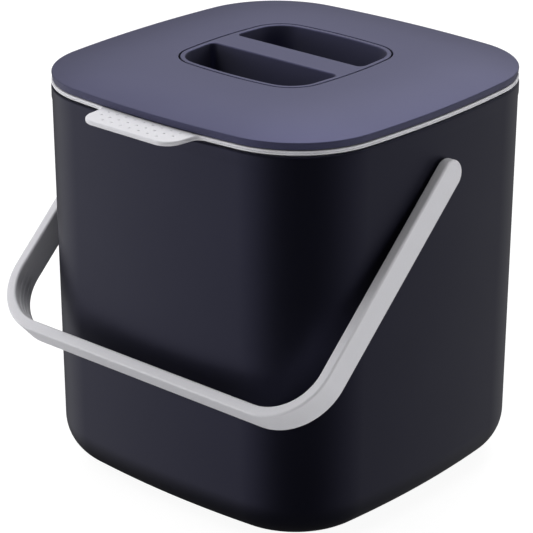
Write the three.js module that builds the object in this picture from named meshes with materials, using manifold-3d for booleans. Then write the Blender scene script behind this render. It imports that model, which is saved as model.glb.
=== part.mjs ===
// Kitchen compost bin: an outer bucket with a swinging bail, a lift-out inner bucket with
// a thumb tab, and a lid whose grip insert closes a charcoal filter chamber.
// Units are millimetres and +Z is up. The front faces -Y, and the origin is at the centre
// of the base, level with the feet. Every outline follows the plan of the lid's edge.

import * as THREE from 'three';
import { mergeVertices } from 'three/addons/utils/BufferGeometryUtils.js';
import Module from 'manifold-3d';

const wasm = await Module();
wasm.setup();

// Plan of the lid's outer edge: a square with round corners and slightly bowed sides
const lid_width = 190;
const lid_depth = 189;
const plan_corner_radius = 46;
const plan_side_bow = 2.3;

// Clearances between neighbouring pieces
const seat_gap = 0.3;
const slide_gap = 0.5;
const cut_overrun = 2;

// Outer bucket
const body_height = 196.9;
const body_overhang = 1.6;
const body_wall = 2.4;
const body_floor = 2.6;
const body_draft = 1.5;
const body_base_radius = 24;
const neck_height = 6;
const neck_step = 0.3;
const neck_slope = 1.5;

// Feet
const foot_radius = 7;
const foot_proud = 1;
const foot_recess = 1.1;
const foot_edge_radius = 0.8;
const foot_spacing_x = 102;
const foot_spacing_y = 102;

// Bail handle: a flat strap bent round two corners
const bail_reach = 142.6;
const bail_width = 15;
const bail_thickness = 5.4;
const bail_edge_radius = 1.2;
const bail_bend_radius = 30;
const bail_side_gap = 0.25;
const bail_rest_gap = 0.3;
const pivot_drop = 25.4;
const pivot_radius = 4.2;
const pivot_head_radius = 5.6;
const pivot_head_depth = 1.3;
const grip_groove_depth = 0.5;
const grip_groove_width = 1.6;
const grip_groove_pitch = 3;

// Inner bucket
const bucket_wall = 1.8;
const bucket_floor = 1.8;
const bucket_side_gap = 3.2;
const bucket_floor_gap = 3;
const bucket_draft = 3;
const bucket_base_radius = 22;
const flange_thickness = 2.4;
const flange_overhang = 0.3;
const flange_edge_radius = 0.5;
const flange_groove_width = 0.5;
const flange_groove_depth = 0.25;
const locating_step_height = 4;
const locating_step_slope = 1.5;

// Thumb tab on the inner bucket's flange
const tab_root_width = 60;
const tab_tip_width = 55.6;
const tab_reach = 18.1;
const tab_corner_radius = 9;
const tab_root_fillet = 3;
const tab_edge_radius = 0.9;
const dimple_radius = 0.75;
const dimple_depth = 0.4;
const dimple_pitch_x = 5.66;
const dimple_pitch_y = 4.85;
const dimple_margin = 4;
const dimple_counts = [9, 9, 7];

// Lid shell
const skirt_height = 2.3;
const skirt_wall = 1.8;
const skirt_recess = 0.7;
const skirt_edge_radius = 0.3;
const shoulder_radius = 0.6;
const lid_rise = 6.9;
const lid_wall = 1.6;
const crown_curve_share = 2.2;
const shoulder_turn_share = 0.8;
const collar_wall = 1.6;
const collar_depth = 5.5;
const opening_edge_radius = 0.5;

// Opening for the grip insert, in the middle of the lid
const opening_width = 86.8;
const opening_depth = 86.8;
const opening_corner_radius = 18.6;
const opening_side_bow = 1.3;

// Lid liner
const liner_margin = 6;
const liner_thickness = 1.6;
const plug_margin = 1.6;
const plug_wall = 1.8;
const plug_depth = 12;
const seal_groove_drop = 3.5;
const seal_groove_height = 4;
const seal_groove_depth = 0.8;
const well_wall = 1.8;
const well_top_gap = 0.5;
const ledge_width = 6;
const ledge_thickness = 1.8;
const rib_thickness = 1.6;
const rib_height = 8;
const rib_lines = 4;

// Lid seal
const seal_band = 0.8;
const seal_lip_height = 0.8;

// Grip insert
const seam_gap = 0.4;
const insert_wall = 1.6;
const insert_top = 2;
const insert_edge_radius = 0.6;
const insert_skirt_drop = 4;
const bar_width = 17.2;
const pocket_margin = 2.8;
const pocket_depth = 18;
const pocket_draft = 1.2;
const pocket_bar_radius = 4.6;
const pocket_floor_radius = 3;
const pocket_lip_radius = 0.8;

// Filter tray and charcoal filter
const tray_wall = 1.4;
const tray_floor = 1.6;
const tray_corner_bevel = 1;
const tray_lip_drop = 1;
const filter_thickness = 6;
const filter_edge_radius = 1.2;
const slot_width = 3;
const slot_pitch = 7.2;
const slot_length = 27;
const slot_bridge = 6;
const slot_rows = 9;

// Fineness of the curves
const side_steps = 4;
const corner_steps = 6;
const base_steps = 5;
const crown_steps = 4;
const shoulder_steps = 2;
const end_steps = 5;
const end_start_share = 0.5;
const bend_steps = 7;
const round_sides = 24;
const dimple_sides = 8;
const dome_shares = [0.12, 0.27, 0.45, 0.7, 1];
const half_turn = Math.PI;
const quarter_turn = Math.PI / 2;

// Heights above the feet, from the bottom up
const base_z = foot_proud;
const rim_z = base_z + body_height;
const flange_low_z = rim_z + seat_gap;
const flange_top_z = flange_low_z + flange_thickness;
const lid_low_z = flange_top_z + seat_gap;
const shoulder_z = lid_low_z + skirt_height;
const crown_z = shoulder_z + lid_rise;
const pivot_z = rim_z - pivot_drop;
const bucket_low_z = base_z + body_floor + bucket_floor_gap;
const cup_low_z = crown_z - pocket_depth - insert_wall;
const insert_low_z = cup_low_z - insert_skirt_drop;
const filter_top_z = cup_low_z - seat_gap;
const filter_low_z = filter_top_z - filter_thickness;
const tray_floor_z = filter_low_z - seat_gap;
const tray_low_z = tray_floor_z - tray_floor;
const ledge_top_z = tray_low_z - seat_gap;
const ledge_low_z = ledge_top_z - ledge_thickness;

// Insets of the nested walls from the lid's edge, counted inwards
const body_rim_inset = -body_overhang;
const body_inner_inset = body_rim_inset + neck_step + body_wall;
const bucket_outer_inset = body_inner_inset + bucket_side_gap;
const bucket_inner_inset = bucket_outer_inset + bucket_wall;
const plug_outer_inset = bucket_inner_inset + plug_margin;

// Colours and surface finishes
const finish = {
  navy: { color: 0x2b2b38, roughness: 0.55, metalness: 0 },
  navyLid: { color: 0x33333f, roughness: 0.5, metalness: 0 },
  lightGrey: { color: 0xcfcfd3, roughness: 0.45, metalness: 0 },
  greySilicone: { color: 0xb9bbc0, roughness: 0.7, metalness: 0 },
  blackRubber: { color: 0x222224, roughness: 0.8, metalness: 0 },
  charcoal: { color: 0x161616, roughness: 1, metalness: 0 },
};

// Plans: closed outlines, anticlockwise, whose points carry their outward normals

/** Points of an arc about (cx, cy); its last point is left out unless it ends there. */
function planArc(cx, cy, radius, from, to, steps, ends = false) {
  const points = [];
  const last = ends ? steps : steps - 1;
  for (let i = 0; i <= last; i += 1) {
    const angle = from + ((to - from) * i) / steps;
    const normal = new THREE.Vector2(Math.cos(angle), Math.sin(angle));
    points.push({ x: cx + radius * normal.x, y: cy + radius * normal.y, normal });
  }
  return points;
}

/** Radii, centres and tangent angles of a square with round corners and bowed sides. */
function bowedSquare(width, depth, radius, bow) {
  const a = width / 2;
  const b = depth / 2;
  const cx = a - radius - bow;
  const cy = b - radius - bow;
  const sideRadius = (cy * cy + 2 * radius * bow + bow * bow) / (2 * bow);
  const frontRadius = (cx * cx + 2 * radius * bow + bow * bow) / (2 * bow);
  const sideAngle = Math.atan2(cy, cx - a + sideRadius);
  const frontAngle = Math.atan2(cy - b + frontRadius, cx);
  return { a, b, cx, cy, radius, sideRadius, frontRadius, sideAngle, frontAngle };
}

function bowedPlan(width, depth, radius, bow) {
  const s = bowedSquare(width, depth, radius, bow);
  const leftFrontAngle = half_turn - s.frontAngle;
  const right = planArc(s.a - s.sideRadius, 0, s.sideRadius, -s.sideAngle, s.sideAngle, side_steps);
  const backRight = planArc(s.cx, s.cy, radius, s.sideAngle, s.frontAngle, corner_steps);
  const back = planArc(0, s.b - s.frontRadius, s.frontRadius, s.frontAngle, leftFrontAngle, side_steps);
  const backLeft = planArc(-s.cx, s.cy, radius, leftFrontAngle, half_turn - s.sideAngle, corner_steps);
  const half = [...right, ...backRight, ...back, ...backLeft];
  const otherHalf = half.map(({ x, y, normal }) => ({ x: -x, y: -y, normal: normal.clone().negate() }));
  return [...half, ...otherHalf];
}

/** A plan moved inwards along its normals. */
function insetPlan(plan, inset) {
  return plan.map(({ x, y, normal }) => ({ x: x - normal.x * inset, y: y - normal.y * inset, normal }));
}

/** The plan a share of the way from one plan to another with as many points. */
function blendPlans(from, to, share) {
  return from.map((p, i) => ({
    x: p.x + (to[i].x - p.x) * share,
    y: p.y + (to[i].y - p.y) * share,
    normal: p.normal.clone().lerp(to[i].normal, share).normalize(),
  }));
}

const lidPlan = bowedPlan(lid_width, lid_depth, plan_corner_radius, plan_side_bow);
const openingPlan = bowedPlan(opening_width, opening_depth, opening_corner_radius, opening_side_bow);

// Lofts: a station is a plan at one height, and a profile is a list of [inset, z]

function station(plan, inset, z) {
  return insetPlan(plan, inset).map((p) => new THREE.Vector3(p.x, p.y, z));
}

function stationsOf(plan, profile) {
  return profile.map(([inset, z]) => station(plan, inset, z));
}

/** Profile points of an elliptical arc, both ends included; angles are in quarter turns. */
function profileArc(inset, z, insetRadius, zRadius, from, to, steps) {
  const points = [];
  for (let i = 0; i <= steps; i += 1) {
    const angle = (from + ((to - from) * i) / steps) * quarter_turn;
    points.push([inset + insetRadius * Math.cos(angle), z + zRadius * Math.sin(angle)]);
  }
  return points;
}

/** Skins a run of stations; a closed run joins its ends, an open one is capped. */
function loft(stations, closed = false) {
  const count = stations[0].length;
  const positions = stations.flat().flatMap((p) => p.toArray());
  const index = [];
  const spans = closed ? stations.length : stations.length - 1;
  for (let i = 0; i < spans; i += 1) {
    const low = i * count;
    const high = ((i + 1) % stations.length) * count;
    for (let j = 0; j < count; j += 1) {
      const k = (j + 1) % count;
      index.push(low + j, low + k, high + k, low + j, high + k, high + j);
    }
  }
  if (!closed) {
    const last = (stations.length - 1) * count;
    const firstHub = positions.length / 3;
    positions.push(...middle(stations[0]).toArray(), ...middle(stations[stations.length - 1]).toArray());
    for (let j = 0; j < count; j += 1) {
      const k = (j + 1) % count;
      index.push(firstHub, k, j, firstHub + 1, last + j, last + k);
    }
  }
  const geometry = new THREE.BufferGeometry();
  geometry.setAttribute('position', new THREE.Float32BufferAttribute(positions, 3));
  geometry.setIndex(index);
  return geometry;
}

function middle(points) {
  const sum = new THREE.Vector3();
  points.forEach((p) => sum.add(p));
  return sum.divideScalar(points.length);
}

// Solids for the cuts and joins

function solid(geometry) {
  const bare = geometry.clone();
  bare.deleteAttribute('normal');
  bare.deleteAttribute('uv');
  const merged = mergeVertices(bare);
  return new wasm.Manifold(new wasm.Mesh({
    numProp: 3,
    vertProperties: new Float32Array(merged.attributes.position.array),
    triVerts: new Uint32Array(merged.index.array),
  }));
}

function geometryOf(manifold) {
  const mesh = manifold.getMesh();
  const geometry = new THREE.BufferGeometry();
  geometry.setAttribute('position', new THREE.BufferAttribute(mesh.vertProperties, 3));
  geometry.setIndex(new THREE.BufferAttribute(mesh.triVerts, 1));
  return geometry;
}

function cutAll(body, cutters) {
  return cutters.reduce((rest, cutter) => rest.subtract(cutter), body);
}

function joinAll(body, additions) {
  return additions.reduce((whole, addition) => whole.add(addition), body);
}

/** A round bar along X or Z, from one place on that axis to another. */
function roundBar(axis, from, to, radius) {
  const geometry = new THREE.CylinderGeometry(radius, radius, to - from, round_sides);
  geometry.translate(0, (from + to) / 2, 0);
  return axis === 'x' ? geometry.rotateZ(-quarter_turn) : geometry.rotateX(quarter_turn);
}

const group = new THREE.Group();

function addPiece(name, geometry, look, parent = group) {
  geometry.computeVertexNormals();
  const mesh = new THREE.Mesh(geometry, new THREE.MeshStandardMaterial(look));
  mesh.name = name;
  parent.add(mesh);
  return mesh;
}

// Outer bucket
const neck_low_z = rim_z - neck_height;
const base_bend_z = base_z + body_base_radius;
const base_bend_inset = body_rim_inset + neck_step + body_draft;
const base_bend_centre = base_bend_inset + body_base_radius;

function outerBucket() {
  const crown = body_wall / 2;
  const radius = body_base_radius;
  const profile = [
    ...profileArc(base_bend_centre, base_bend_z, radius, radius, -1, -2, base_steps),
    [body_rim_inset + neck_step, neck_low_z - neck_slope],
    [body_rim_inset, neck_low_z],
    ...profileArc(body_rim_inset + crown, rim_z - crown, crown, crown, 2, 0, crown_steps),
    [body_rim_inset + body_wall, neck_low_z],
    [body_inner_inset, neck_low_z - neck_slope],
    ...profileArc(base_bend_centre, base_bend_z, radius - body_wall, radius - body_floor, -2, -1, base_steps),
  ];
  const shell = solid(loft(stationsOf(lidPlan, profile)));
  const recesses = footPlaces().map(({ x, y }) => {
    const recess = roundBar('z', base_z - cut_overrun, base_z + foot_recess, foot_radius + seat_gap);
    return solid(recess.translate(x, y, 0));
  });
  const hole = roundBar('x', -lid_width, lid_width, pivot_radius + seat_gap);
  return geometryOf(cutAll(shell, [...recesses, solid(hole.translate(0, 0, pivot_z))]));
}

// Feet: soft round pads in recesses of the base
function footPlaces() {
  const x = foot_spacing_x / 2;
  const y = foot_spacing_y / 2;
  return [
    { name: 'foot_pad_front_left', x: -x, y: -y },
    { name: 'foot_pad_front_right', x, y: -y },
    { name: 'foot_pad_back_left', x: -x, y },
    { name: 'foot_pad_back_right', x, y },
  ];
}

function footPad() {
  const top = base_z + foot_recess - seat_gap;
  const profile = [
    new THREE.Vector2(0, 0),
    new THREE.Vector2(foot_radius - foot_edge_radius, 0),
    new THREE.Vector2(foot_radius, foot_edge_radius),
    new THREE.Vector2(foot_radius, top),
    new THREE.Vector2(0, top),
  ];
  return new THREE.LatheGeometry(profile, round_sides).rotateX(quarter_turn);
}

// Bail handle, drawn lying forwards along -Y with its pivots on the X axis
const arm_inner_x = lid_width / 2 + body_overhang + bail_side_gap;
const arm_outer_x = arm_inner_x + bail_thickness;

/** Outline of the strap's section as [across, in] pairs, in from the outer face. */
function strapSection(halfWidth, grooveShare) {
  const r = bail_edge_radius;
  const k = r * (1 - Math.SQRT1_2);
  const depth = grip_groove_depth * grooveShare;
  const inner = bail_thickness;
  const squeeze = halfWidth / (bail_width / 2);
  const grooves = [-1, 0, 1].flatMap((row) => [
    [row * grip_groove_pitch - grip_groove_width / 2, inner],
    [row * grip_groove_pitch, inner - depth],
    [row * grip_groove_pitch + grip_groove_width / 2, inner],
  ]);
  const half = bail_width / 2;
  const outline = [
    [-half + r, inner],
    ...grooves,
    [half - r, inner],
    [half - k, inner - k],
    [half, inner - r],
    [half, r],
    [half - k, k],
    [half - r, 0],
    [-half + r, 0],
    [-half + k, k],
    [-half, r],
    [-half, inner - r],
    [-half + k, inner - k],
  ];
  return outline.map(([across, depthIn]) => [across * squeeze, depthIn]);
}

/** Stations along the strap, from the left arm's end round to the right arm's. */
function strapStations() {
  const half = bail_width / 2;
  const bendStart = bail_reach - bail_bend_radius;
  const right = [];
  for (let i = 1; i <= end_steps; i += 1) {
    const angle = ((i - end_start_share) / (end_steps - end_start_share)) * quarter_turn;
    const place = new THREE.Vector2(arm_outer_x, half * Math.cos(angle));
    right.push({ place, inward: new THREE.Vector2(-1, 0), halfWidth: half * Math.sin(angle), groove: 0 });
  }
  for (let i = 0; i <= bend_steps; i += 1) {
    const angle = (quarter_turn * i) / bend_steps;
    const out = new THREE.Vector2(Math.cos(angle), -Math.sin(angle));
    const centre = new THREE.Vector2(arm_outer_x - bail_bend_radius, -bendStart);
    right.push({
      place: centre.clone().addScaledVector(out, bail_bend_radius),
      inward: out.clone().negate(),
      halfWidth: half,
      groove: i === 0 ? 0 : 1,
    });
  }
  const left = right.map(({ place, inward, halfWidth, groove }) => ({
    place: new THREE.Vector2(-place.x, place.y),
    inward: new THREE.Vector2(-inward.x, inward.y),
    halfWidth,
    groove,
  }));
  return [...left, ...right.reverse()].map(({ place, inward, halfWidth, groove }) => (
    strapSection(halfWidth, groove).map(([across, depthIn]) => (
      new THREE.Vector3(place.x + inward.x * depthIn, place.y + inward.y * depthIn, across)
    ))
  ));
}

/** Pivot boss on the right arm: a shaft through the wall with a snap head behind it. */
function pivotBoss() {
  const wallOuterX = lid_width / 2 - body_rim_inset - neck_step;
  const wallInnerX = wallOuterX - body_wall - body_draft * (pivot_drop / body_height);
  const headOuter = wallInnerX - seat_gap;
  const profile = [
    new THREE.Vector2(0, headOuter - pivot_head_depth),
    new THREE.Vector2(pivot_radius, headOuter - pivot_head_depth),
    new THREE.Vector2(pivot_head_radius, headOuter),
    new THREE.Vector2(pivot_radius, headOuter),
    new THREE.Vector2(pivot_radius, arm_inner_x + bail_thickness / 2),
    new THREE.Vector2(0, arm_inner_x + bail_thickness / 2),
  ];
  return new THREE.LatheGeometry(profile, round_sides).rotateZ(-quarter_turn);
}

function bailHandle() {
  const strap = solid(loft(strapStations()));
  const bosses = [solid(pivotBoss()), solid(pivotBoss().rotateZ(half_turn))];
  return geometryOf(joinAll(strap, bosses));
}

/** Angle below the horizontal at which the crossbar's lower inner edge meets the front wall. */
function restAngle() {
  const inner = bail_reach - bail_thickness;
  const reach = Math.hypot(inner, bail_width / 2);
  const lead = Math.atan2(bail_width / 2, inner);
  const slope = body_draft / body_height;
  const wallAtPivot = lid_depth / 2 - body_rim_inset - neck_step - slope * pivot_drop;
  const swing = Math.acos((wallAtPivot + bail_rest_gap) / (reach * Math.hypot(1, slope)));
  return swing + Math.atan(slope) - lead;
}

// Inner bucket
function bucketBody() {
  const flange = -flange_overhang;
  const step = body_rim_inset + body_wall + slide_gap;
  const lineLowZ = flange_low_z + (flange_thickness - flange_groove_width) / 2;
  const bendInset = bucket_outer_inset + bucket_draft + bucket_base_radius;
  const bendZ = bucket_low_z + bucket_base_radius;
  const radius = bucket_base_radius;
  const edge = flange_edge_radius;
  const stepLowZ = flange_low_z - locating_step_height;
  const profile = [
    ...profileArc(bendInset, bendZ, radius, radius, -1, -2, base_steps),
    [bucket_outer_inset, stepLowZ - locating_step_slope],
    [step, stepLowZ],
    [step, flange_low_z],
    [flange + edge, flange_low_z],
    [flange, flange_low_z + edge],
    [flange, lineLowZ],
    [flange + flange_groove_depth, lineLowZ + flange_groove_width / 2],
    [flange, lineLowZ + flange_groove_width],
    [flange, flange_top_z - edge],
    [flange + edge, flange_top_z],
    [bucket_inner_inset - edge, flange_top_z],
    [bucket_inner_inset, flange_top_z - edge],
    ...profileArc(bendInset, bendZ, radius - bucket_wall, radius - bucket_floor, -2, -1, base_steps),
  ];
  return solid(loft(stationsOf(lidPlan, profile)));
}

/** Where the flange's bowed front edge lies at a place across the bucket. */
function flangeFrontY(x) {
  const s = bowedSquare(lid_width, lid_depth, plan_corner_radius, plan_side_bow);
  const radius = s.frontRadius + flange_overhang;
  return s.frontRadius - s.b - Math.sqrt(radius ** 2 - x ** 2);
}

/** Outline of the thumb tab, from inside the flange out to its round tip. */
function tabShape() {
  const tipY = -lid_depth / 2 - flange_overhang - tab_reach;
  const root = tab_root_width / 2;
  const tip = tab_tip_width / 2;
  const lean = Math.atan2(root - tip, tab_reach);
  const cornerX = tip - tab_corner_radius * Math.tan((quarter_turn - lean) / 2);
  const cornerY = tipY + tab_corner_radius;
  const rootY = flangeFrontY(root);
  const neckX = root - tab_root_fillet * Math.sin(lean);
  const neckY = rootY - tab_root_fillet * Math.cos(lean);
  const outerX = root + tab_root_fillet;
  const outerY = flangeFrontY(outerX);
  const shape = new THREE.Shape();
  shape.moveTo(-outerX, outerY + tab_root_fillet);
  shape.lineTo(-outerX, outerY);
  shape.quadraticCurveTo(-root, rootY, -neckX, neckY);
  shape.absarc(-cornerX, cornerY, tab_corner_radius, half_turn + lean, half_turn + quarter_turn);
  shape.absarc(cornerX, cornerY, tab_corner_radius, -quarter_turn, -lean);
  shape.lineTo(neckX, neckY);
  shape.quadraticCurveTo(root, rootY, outerX, outerY);
  shape.lineTo(outerX, outerY + tab_root_fillet);
  return shape;
}

function thumbTab() {
  const geometry = new THREE.ExtrudeGeometry(tabShape(), {
    depth: flange_thickness - 2 * tab_edge_radius,
    bevelThickness: tab_edge_radius,
    bevelSize: tab_edge_radius,
    bevelOffset: -tab_edge_radius,
    bevelSegments: 1,
    curveSegments: corner_steps,
  });
  return solid(geometry.translate(0, 0, flange_low_z + tab_edge_radius));
}

/** Rows of small pits in the top of the tab, for grip. */
function tabDimples() {
  const profile = [
    new THREE.Vector2(0, -dimple_depth),
    new THREE.Vector2(dimple_radius, 0),
    new THREE.Vector2(dimple_radius, cut_overrun),
    new THREE.Vector2(0, cut_overrun),
  ];
  return dimple_counts.flatMap((count, row) => {
    const y = -lid_depth / 2 - dimple_margin - row * dimple_pitch_y;
    return Array.from({ length: count }, (_, i) => {
      const x = (i - (count - 1) / 2) * dimple_pitch_x;
      const pit = new THREE.LatheGeometry(profile, dimple_sides).rotateX(quarter_turn);
      return solid(pit.translate(x, y, flange_top_z));
    });
  });
}

function innerBucket() {
  return geometryOf(cutAll(bucketBody().add(thumbTab()), tabDimples()));
}

// Lid shell: a shallow dome with a skirt, and a collar round the grip opening
function domeHeight(share) {
  return lid_rise * (1 - (1 - share) ** crown_curve_share);
}

function lidShell() {
  const edge = skirt_edge_radius;
  const brim = shoulder_radius;
  const lastTurn = 2 - shoulder_turn_share;
  const shoulder = profileArc(brim, shoulder_z - brim, brim, brim, 2, lastTurn, shoulder_steps);
  const [domeInset, domeStart] = shoulder[shoulder.length - 1];
  const domeEdge = insetPlan(lidPlan, domeInset);
  const domeMiddle = insetPlan(openingPlan, -opening_edge_radius);
  const rise = (share) => domeStart + domeHeight(share) * ((crown_z - domeStart) / lid_rise);
  const domeAt = (share, drop) => station(blendPlans(domeEdge, domeMiddle, share), 0, rise(share) - drop);
  const top = dome_shares.map((share) => domeAt(share, 0));
  const under = dome_shares.slice(0, -1).reverse().map((share) => domeAt(share, lid_wall));
  return loft([
    station(lidPlan, edge, lid_low_z),
    station(lidPlan, 0, lid_low_z + edge),
    ...stationsOf(lidPlan, shoulder),
    ...top,
    station(openingPlan, 0, crown_z - opening_edge_radius),
    station(openingPlan, 0, crown_z - collar_depth),
    station(openingPlan, -collar_wall, crown_z - collar_depth),
    station(openingPlan, -collar_wall, crown_z - lid_wall),
    ...under,
    station(lidPlan, skirt_wall, lid_low_z + skirt_recess),
    station(lidPlan, skirt_wall, lid_low_z),
  ], true);
}

// Lid liner: the plate under the dome, with the plug wall and the filter well
const well_inner_inset = -collar_wall - seat_gap;
const well_outer_inset = well_inner_inset - well_wall;
const groove_top_z = lid_low_z - seal_groove_drop;
const groove_low_z = groove_top_z - seal_groove_height;

function linerBody() {
  const plateTopZ = lid_low_z + liner_thickness;
  const wellTopZ = crown_z - lid_wall - well_top_gap;
  const plugLowZ = lid_low_z - plug_depth;
  const ledgeInset = well_inner_inset + ledge_width;
  return solid(loft([
    ...stationsOf(lidPlan, [[liner_margin, lid_low_z], [liner_margin, plateTopZ]]),
    ...stationsOf(openingPlan, [
      [well_outer_inset, plateTopZ],
      [well_outer_inset, wellTopZ],
      [well_inner_inset, wellTopZ],
      [well_inner_inset, ledge_top_z],
      [ledgeInset, ledge_top_z],
      [ledgeInset, ledge_low_z],
      [well_outer_inset + ledge_thickness, ledge_low_z],
      [well_outer_inset, ledge_top_z],
      [well_outer_inset, lid_low_z],
    ]),
    ...stationsOf(lidPlan, [
      [plug_outer_inset + plug_wall, lid_low_z],
      [plug_outer_inset + plug_wall, plugLowZ],
      [plug_outer_inset, plugLowZ],
      [plug_outer_inset, groove_low_z],
      [plug_outer_inset + seal_groove_depth, groove_low_z],
      [plug_outer_inset + seal_groove_depth, groove_top_z],
      [plug_outer_inset, groove_top_z],
      [plug_outer_inset, lid_low_z],
    ]),
  ], true));
}

/** Stiffening ribs that run from the filter well out to the plug wall. */
function linerRibs() {
  const lowZ = lid_low_z - rib_height;
  const highZ = lid_low_z + liner_thickness / 2;
  const field = solid(loft([
    station(lidPlan, plug_outer_inset + plug_wall / 2, lowZ),
    station(lidPlan, plug_outer_inset + plug_wall / 2, highZ),
    station(openingPlan, well_outer_inset + well_wall / 2, highZ),
    station(openingPlan, well_outer_inset + well_wall / 2, lowZ),
  ], true));
  return Array.from({ length: rib_lines }, (_, line) => {
    const rib = new THREE.BoxGeometry(lid_width * Math.SQRT2, rib_thickness, 2 * rib_height);
    rib.rotateZ((line * half_turn) / rib_lines);
    return solid(rib.translate(0, 0, lid_low_z)).intersect(field);
  });
}

function lidLiner() {
  return geometryOf(joinAll(linerBody(), linerRibs()));
}

// Lid seal: a band in the plug's groove with two lips that meet the inner bucket
function lidSeal() {
  const bottom = groove_low_z + seat_gap;
  const top = groove_top_z - seat_gap;
  const slope = bucket_draft / (flange_top_z - bucket_low_z);
  const lip = bucket_inner_inset + seat_gap + slope * (flange_top_z - groove_low_z);
  const inner = plug_outer_inset + seal_groove_depth - seat_gap;
  const outer = inner - seal_band;
  return loft(stationsOf(lidPlan, [
    [outer, bottom],
    [lip, bottom + seal_lip_height / 2],
    [outer, bottom + seal_lip_height],
    [outer, top - seal_lip_height],
    [lip, top - seal_lip_height / 2],
    [outer, top],
    [inner, top],
    [inner, bottom],
  ]), true);
}

// Grip insert: a flush cap with two finger pockets and a bar between them
const insertPlan = insetPlan(openingPlan, seam_gap);

/** Outline of the front pocket: the insert's edge, cut off along the bar. */
function pocketPlan() {
  const s = bowedSquare(opening_width, opening_depth, opening_corner_radius, opening_side_bow);
  const shrink = seam_gap + pocket_margin;
  const cornerRadius = s.radius - shrink;
  const barY = -bar_width / 2;
  const r = pocket_bar_radius;
  const sideX = s.a - s.sideRadius + Math.sqrt((s.sideRadius - shrink) ** 2 - (barY - r) ** 2);
  const leftAngles = [half_turn + s.sideAngle, half_turn + s.frontAngle];
  const rightAngles = [-s.frontAngle, -s.sideAngle];
  const frontAngles = [half_turn + s.frontAngle, 2 * half_turn - s.frontAngle];
  return [
    ...planArc(-s.cx, -s.cy, cornerRadius, ...leftAngles, corner_steps),
    ...planArc(0, s.frontRadius - s.b, s.frontRadius - shrink, ...frontAngles, side_steps),
    ...planArc(s.cx, -s.cy, cornerRadius, ...rightAngles, corner_steps, true),
    ...planArc(sideX - r, barY - r, r, 0, quarter_turn, crown_steps, true),
    ...planArc(r - sideX, barY - r, r, quarter_turn, half_turn, crown_steps, true),
  ];
}

/** A pocket's space, or with a wall thickness the cup round it. */
function pocketSolid(plan, wall) {
  const floorZ = crown_z - pocket_depth - wall;
  const radius = pocket_floor_radius;
  const topZ = wall > 0 ? crown_z - insert_top / 2 : crown_z - pocket_lip_radius;
  const bendInset = pocket_draft + radius - wall;
  const bottom = profileArc(bendInset, floorZ + radius, radius, radius, -1, -2, crown_steps);
  const mouth = wall > 0 ? [] : [
    [-pocket_lip_radius, crown_z],
    [-pocket_lip_radius, crown_z + cut_overrun],
  ];
  return loft(stationsOf(plan, [...bottom, [-wall, topZ], ...mouth]));
}

function gripInsert() {
  const edge = insert_edge_radius;
  const plug = solid(loft(stationsOf(insertPlan, [
    [0, insert_low_z],
    [0, crown_z - edge],
    [edge, crown_z],
  ])));
  const hollow = solid(loft(stationsOf(insertPlan, [
    [insert_wall, insert_low_z - cut_overrun],
    [insert_wall, crown_z - insert_top],
  ])));
  const plan = pocketPlan();
  const turns = [0, half_turn];
  const cups = turns.map((turn) => solid(pocketSolid(plan, insert_wall).rotateZ(turn)).intersect(plug));
  const pockets = turns.map((turn) => solid(pocketSolid(plan, 0).rotateZ(turn)));
  return geometryOf(cutAll(joinAll(plug.subtract(hollow), cups), pockets));
}

// Filter tray: a vented dish that clips inside the insert's skirt
const tray_inset = seam_gap + insert_wall + seat_gap;

function slotShape() {
  const r = slot_width / 2;
  const reach = slot_length / 2 - r;
  const shape = new THREE.Shape();
  shape.moveTo(-reach, -r);
  shape.lineTo(reach, -r);
  shape.absarc(reach, 0, r, -quarter_turn, quarter_turn, false);
  shape.lineTo(-reach, r);
  shape.absarc(-reach, 0, r, quarter_turn, half_turn + quarter_turn, false);
  return shape;
}

function traySlots() {
  const slots = [];
  for (let row = 0; row < slot_rows; row += 1) {
    for (const side of [-1, 1]) {
      const slot = new THREE.ExtrudeGeometry(slotShape(), {
        depth: tray_floor + 2 * cut_overrun,
        bevelEnabled: false,
        curveSegments: crown_steps,
      });
      const x = (side * (slot_length + slot_bridge)) / 2;
      const y = (row - (slot_rows - 1) / 2) * slot_pitch;
      slots.push(solid(slot.translate(x, y, tray_low_z - cut_overrun)));
    }
  }
  return slots;
}

function filterTray() {
  const dish = solid(loft(stationsOf(openingPlan, [
    [tray_inset + tray_corner_bevel, tray_low_z],
    [tray_inset, tray_low_z + tray_corner_bevel],
    [tray_inset, filter_top_z - tray_lip_drop],
    [tray_inset + tray_wall, filter_top_z - tray_lip_drop],
    [tray_inset + tray_wall, tray_floor_z],
  ])));
  return geometryOf(cutAll(dish, traySlots()));
}

// Charcoal filter: a soft pad that fills the tray
function charcoalFilter() {
  const edge = filter_edge_radius;
  const inset = tray_inset + tray_wall + seat_gap;
  return loft(stationsOf(openingPlan, [
    [inset + edge, filter_low_z],
    [inset, filter_low_z + edge],
    [inset, filter_top_z - edge],
    [inset + edge, filter_top_z],
  ]));
}

addPiece('outer_bucket', outerBucket(), finish.navy);
for (const { name, x, y } of footPlaces()) {
  addPiece(name, footPad(), finish.blackRubber).position.set(x, y, 0);
}
const bail = addPiece('carry_handle', bailHandle(), finish.lightGrey);
bail.position.set(0, 0, pivot_z);
bail.rotation.x = restAngle();
addPiece('inner_bucket', innerBucket(), finish.lightGrey);
addPiece('lid_shell', lidShell(), finish.navyLid);
addPiece('lid_liner', lidLiner(), finish.navyLid);
addPiece('lid_seal', lidSeal(), finish.greySilicone);
addPiece('grip_insert', gripInsert(), finish.navyLid);
addPiece('filter_tray', filterTray(), finish.navyLid);
addPiece('charcoal_filter', charcoalFilter(), finish.charcoal);

export default group;
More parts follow.
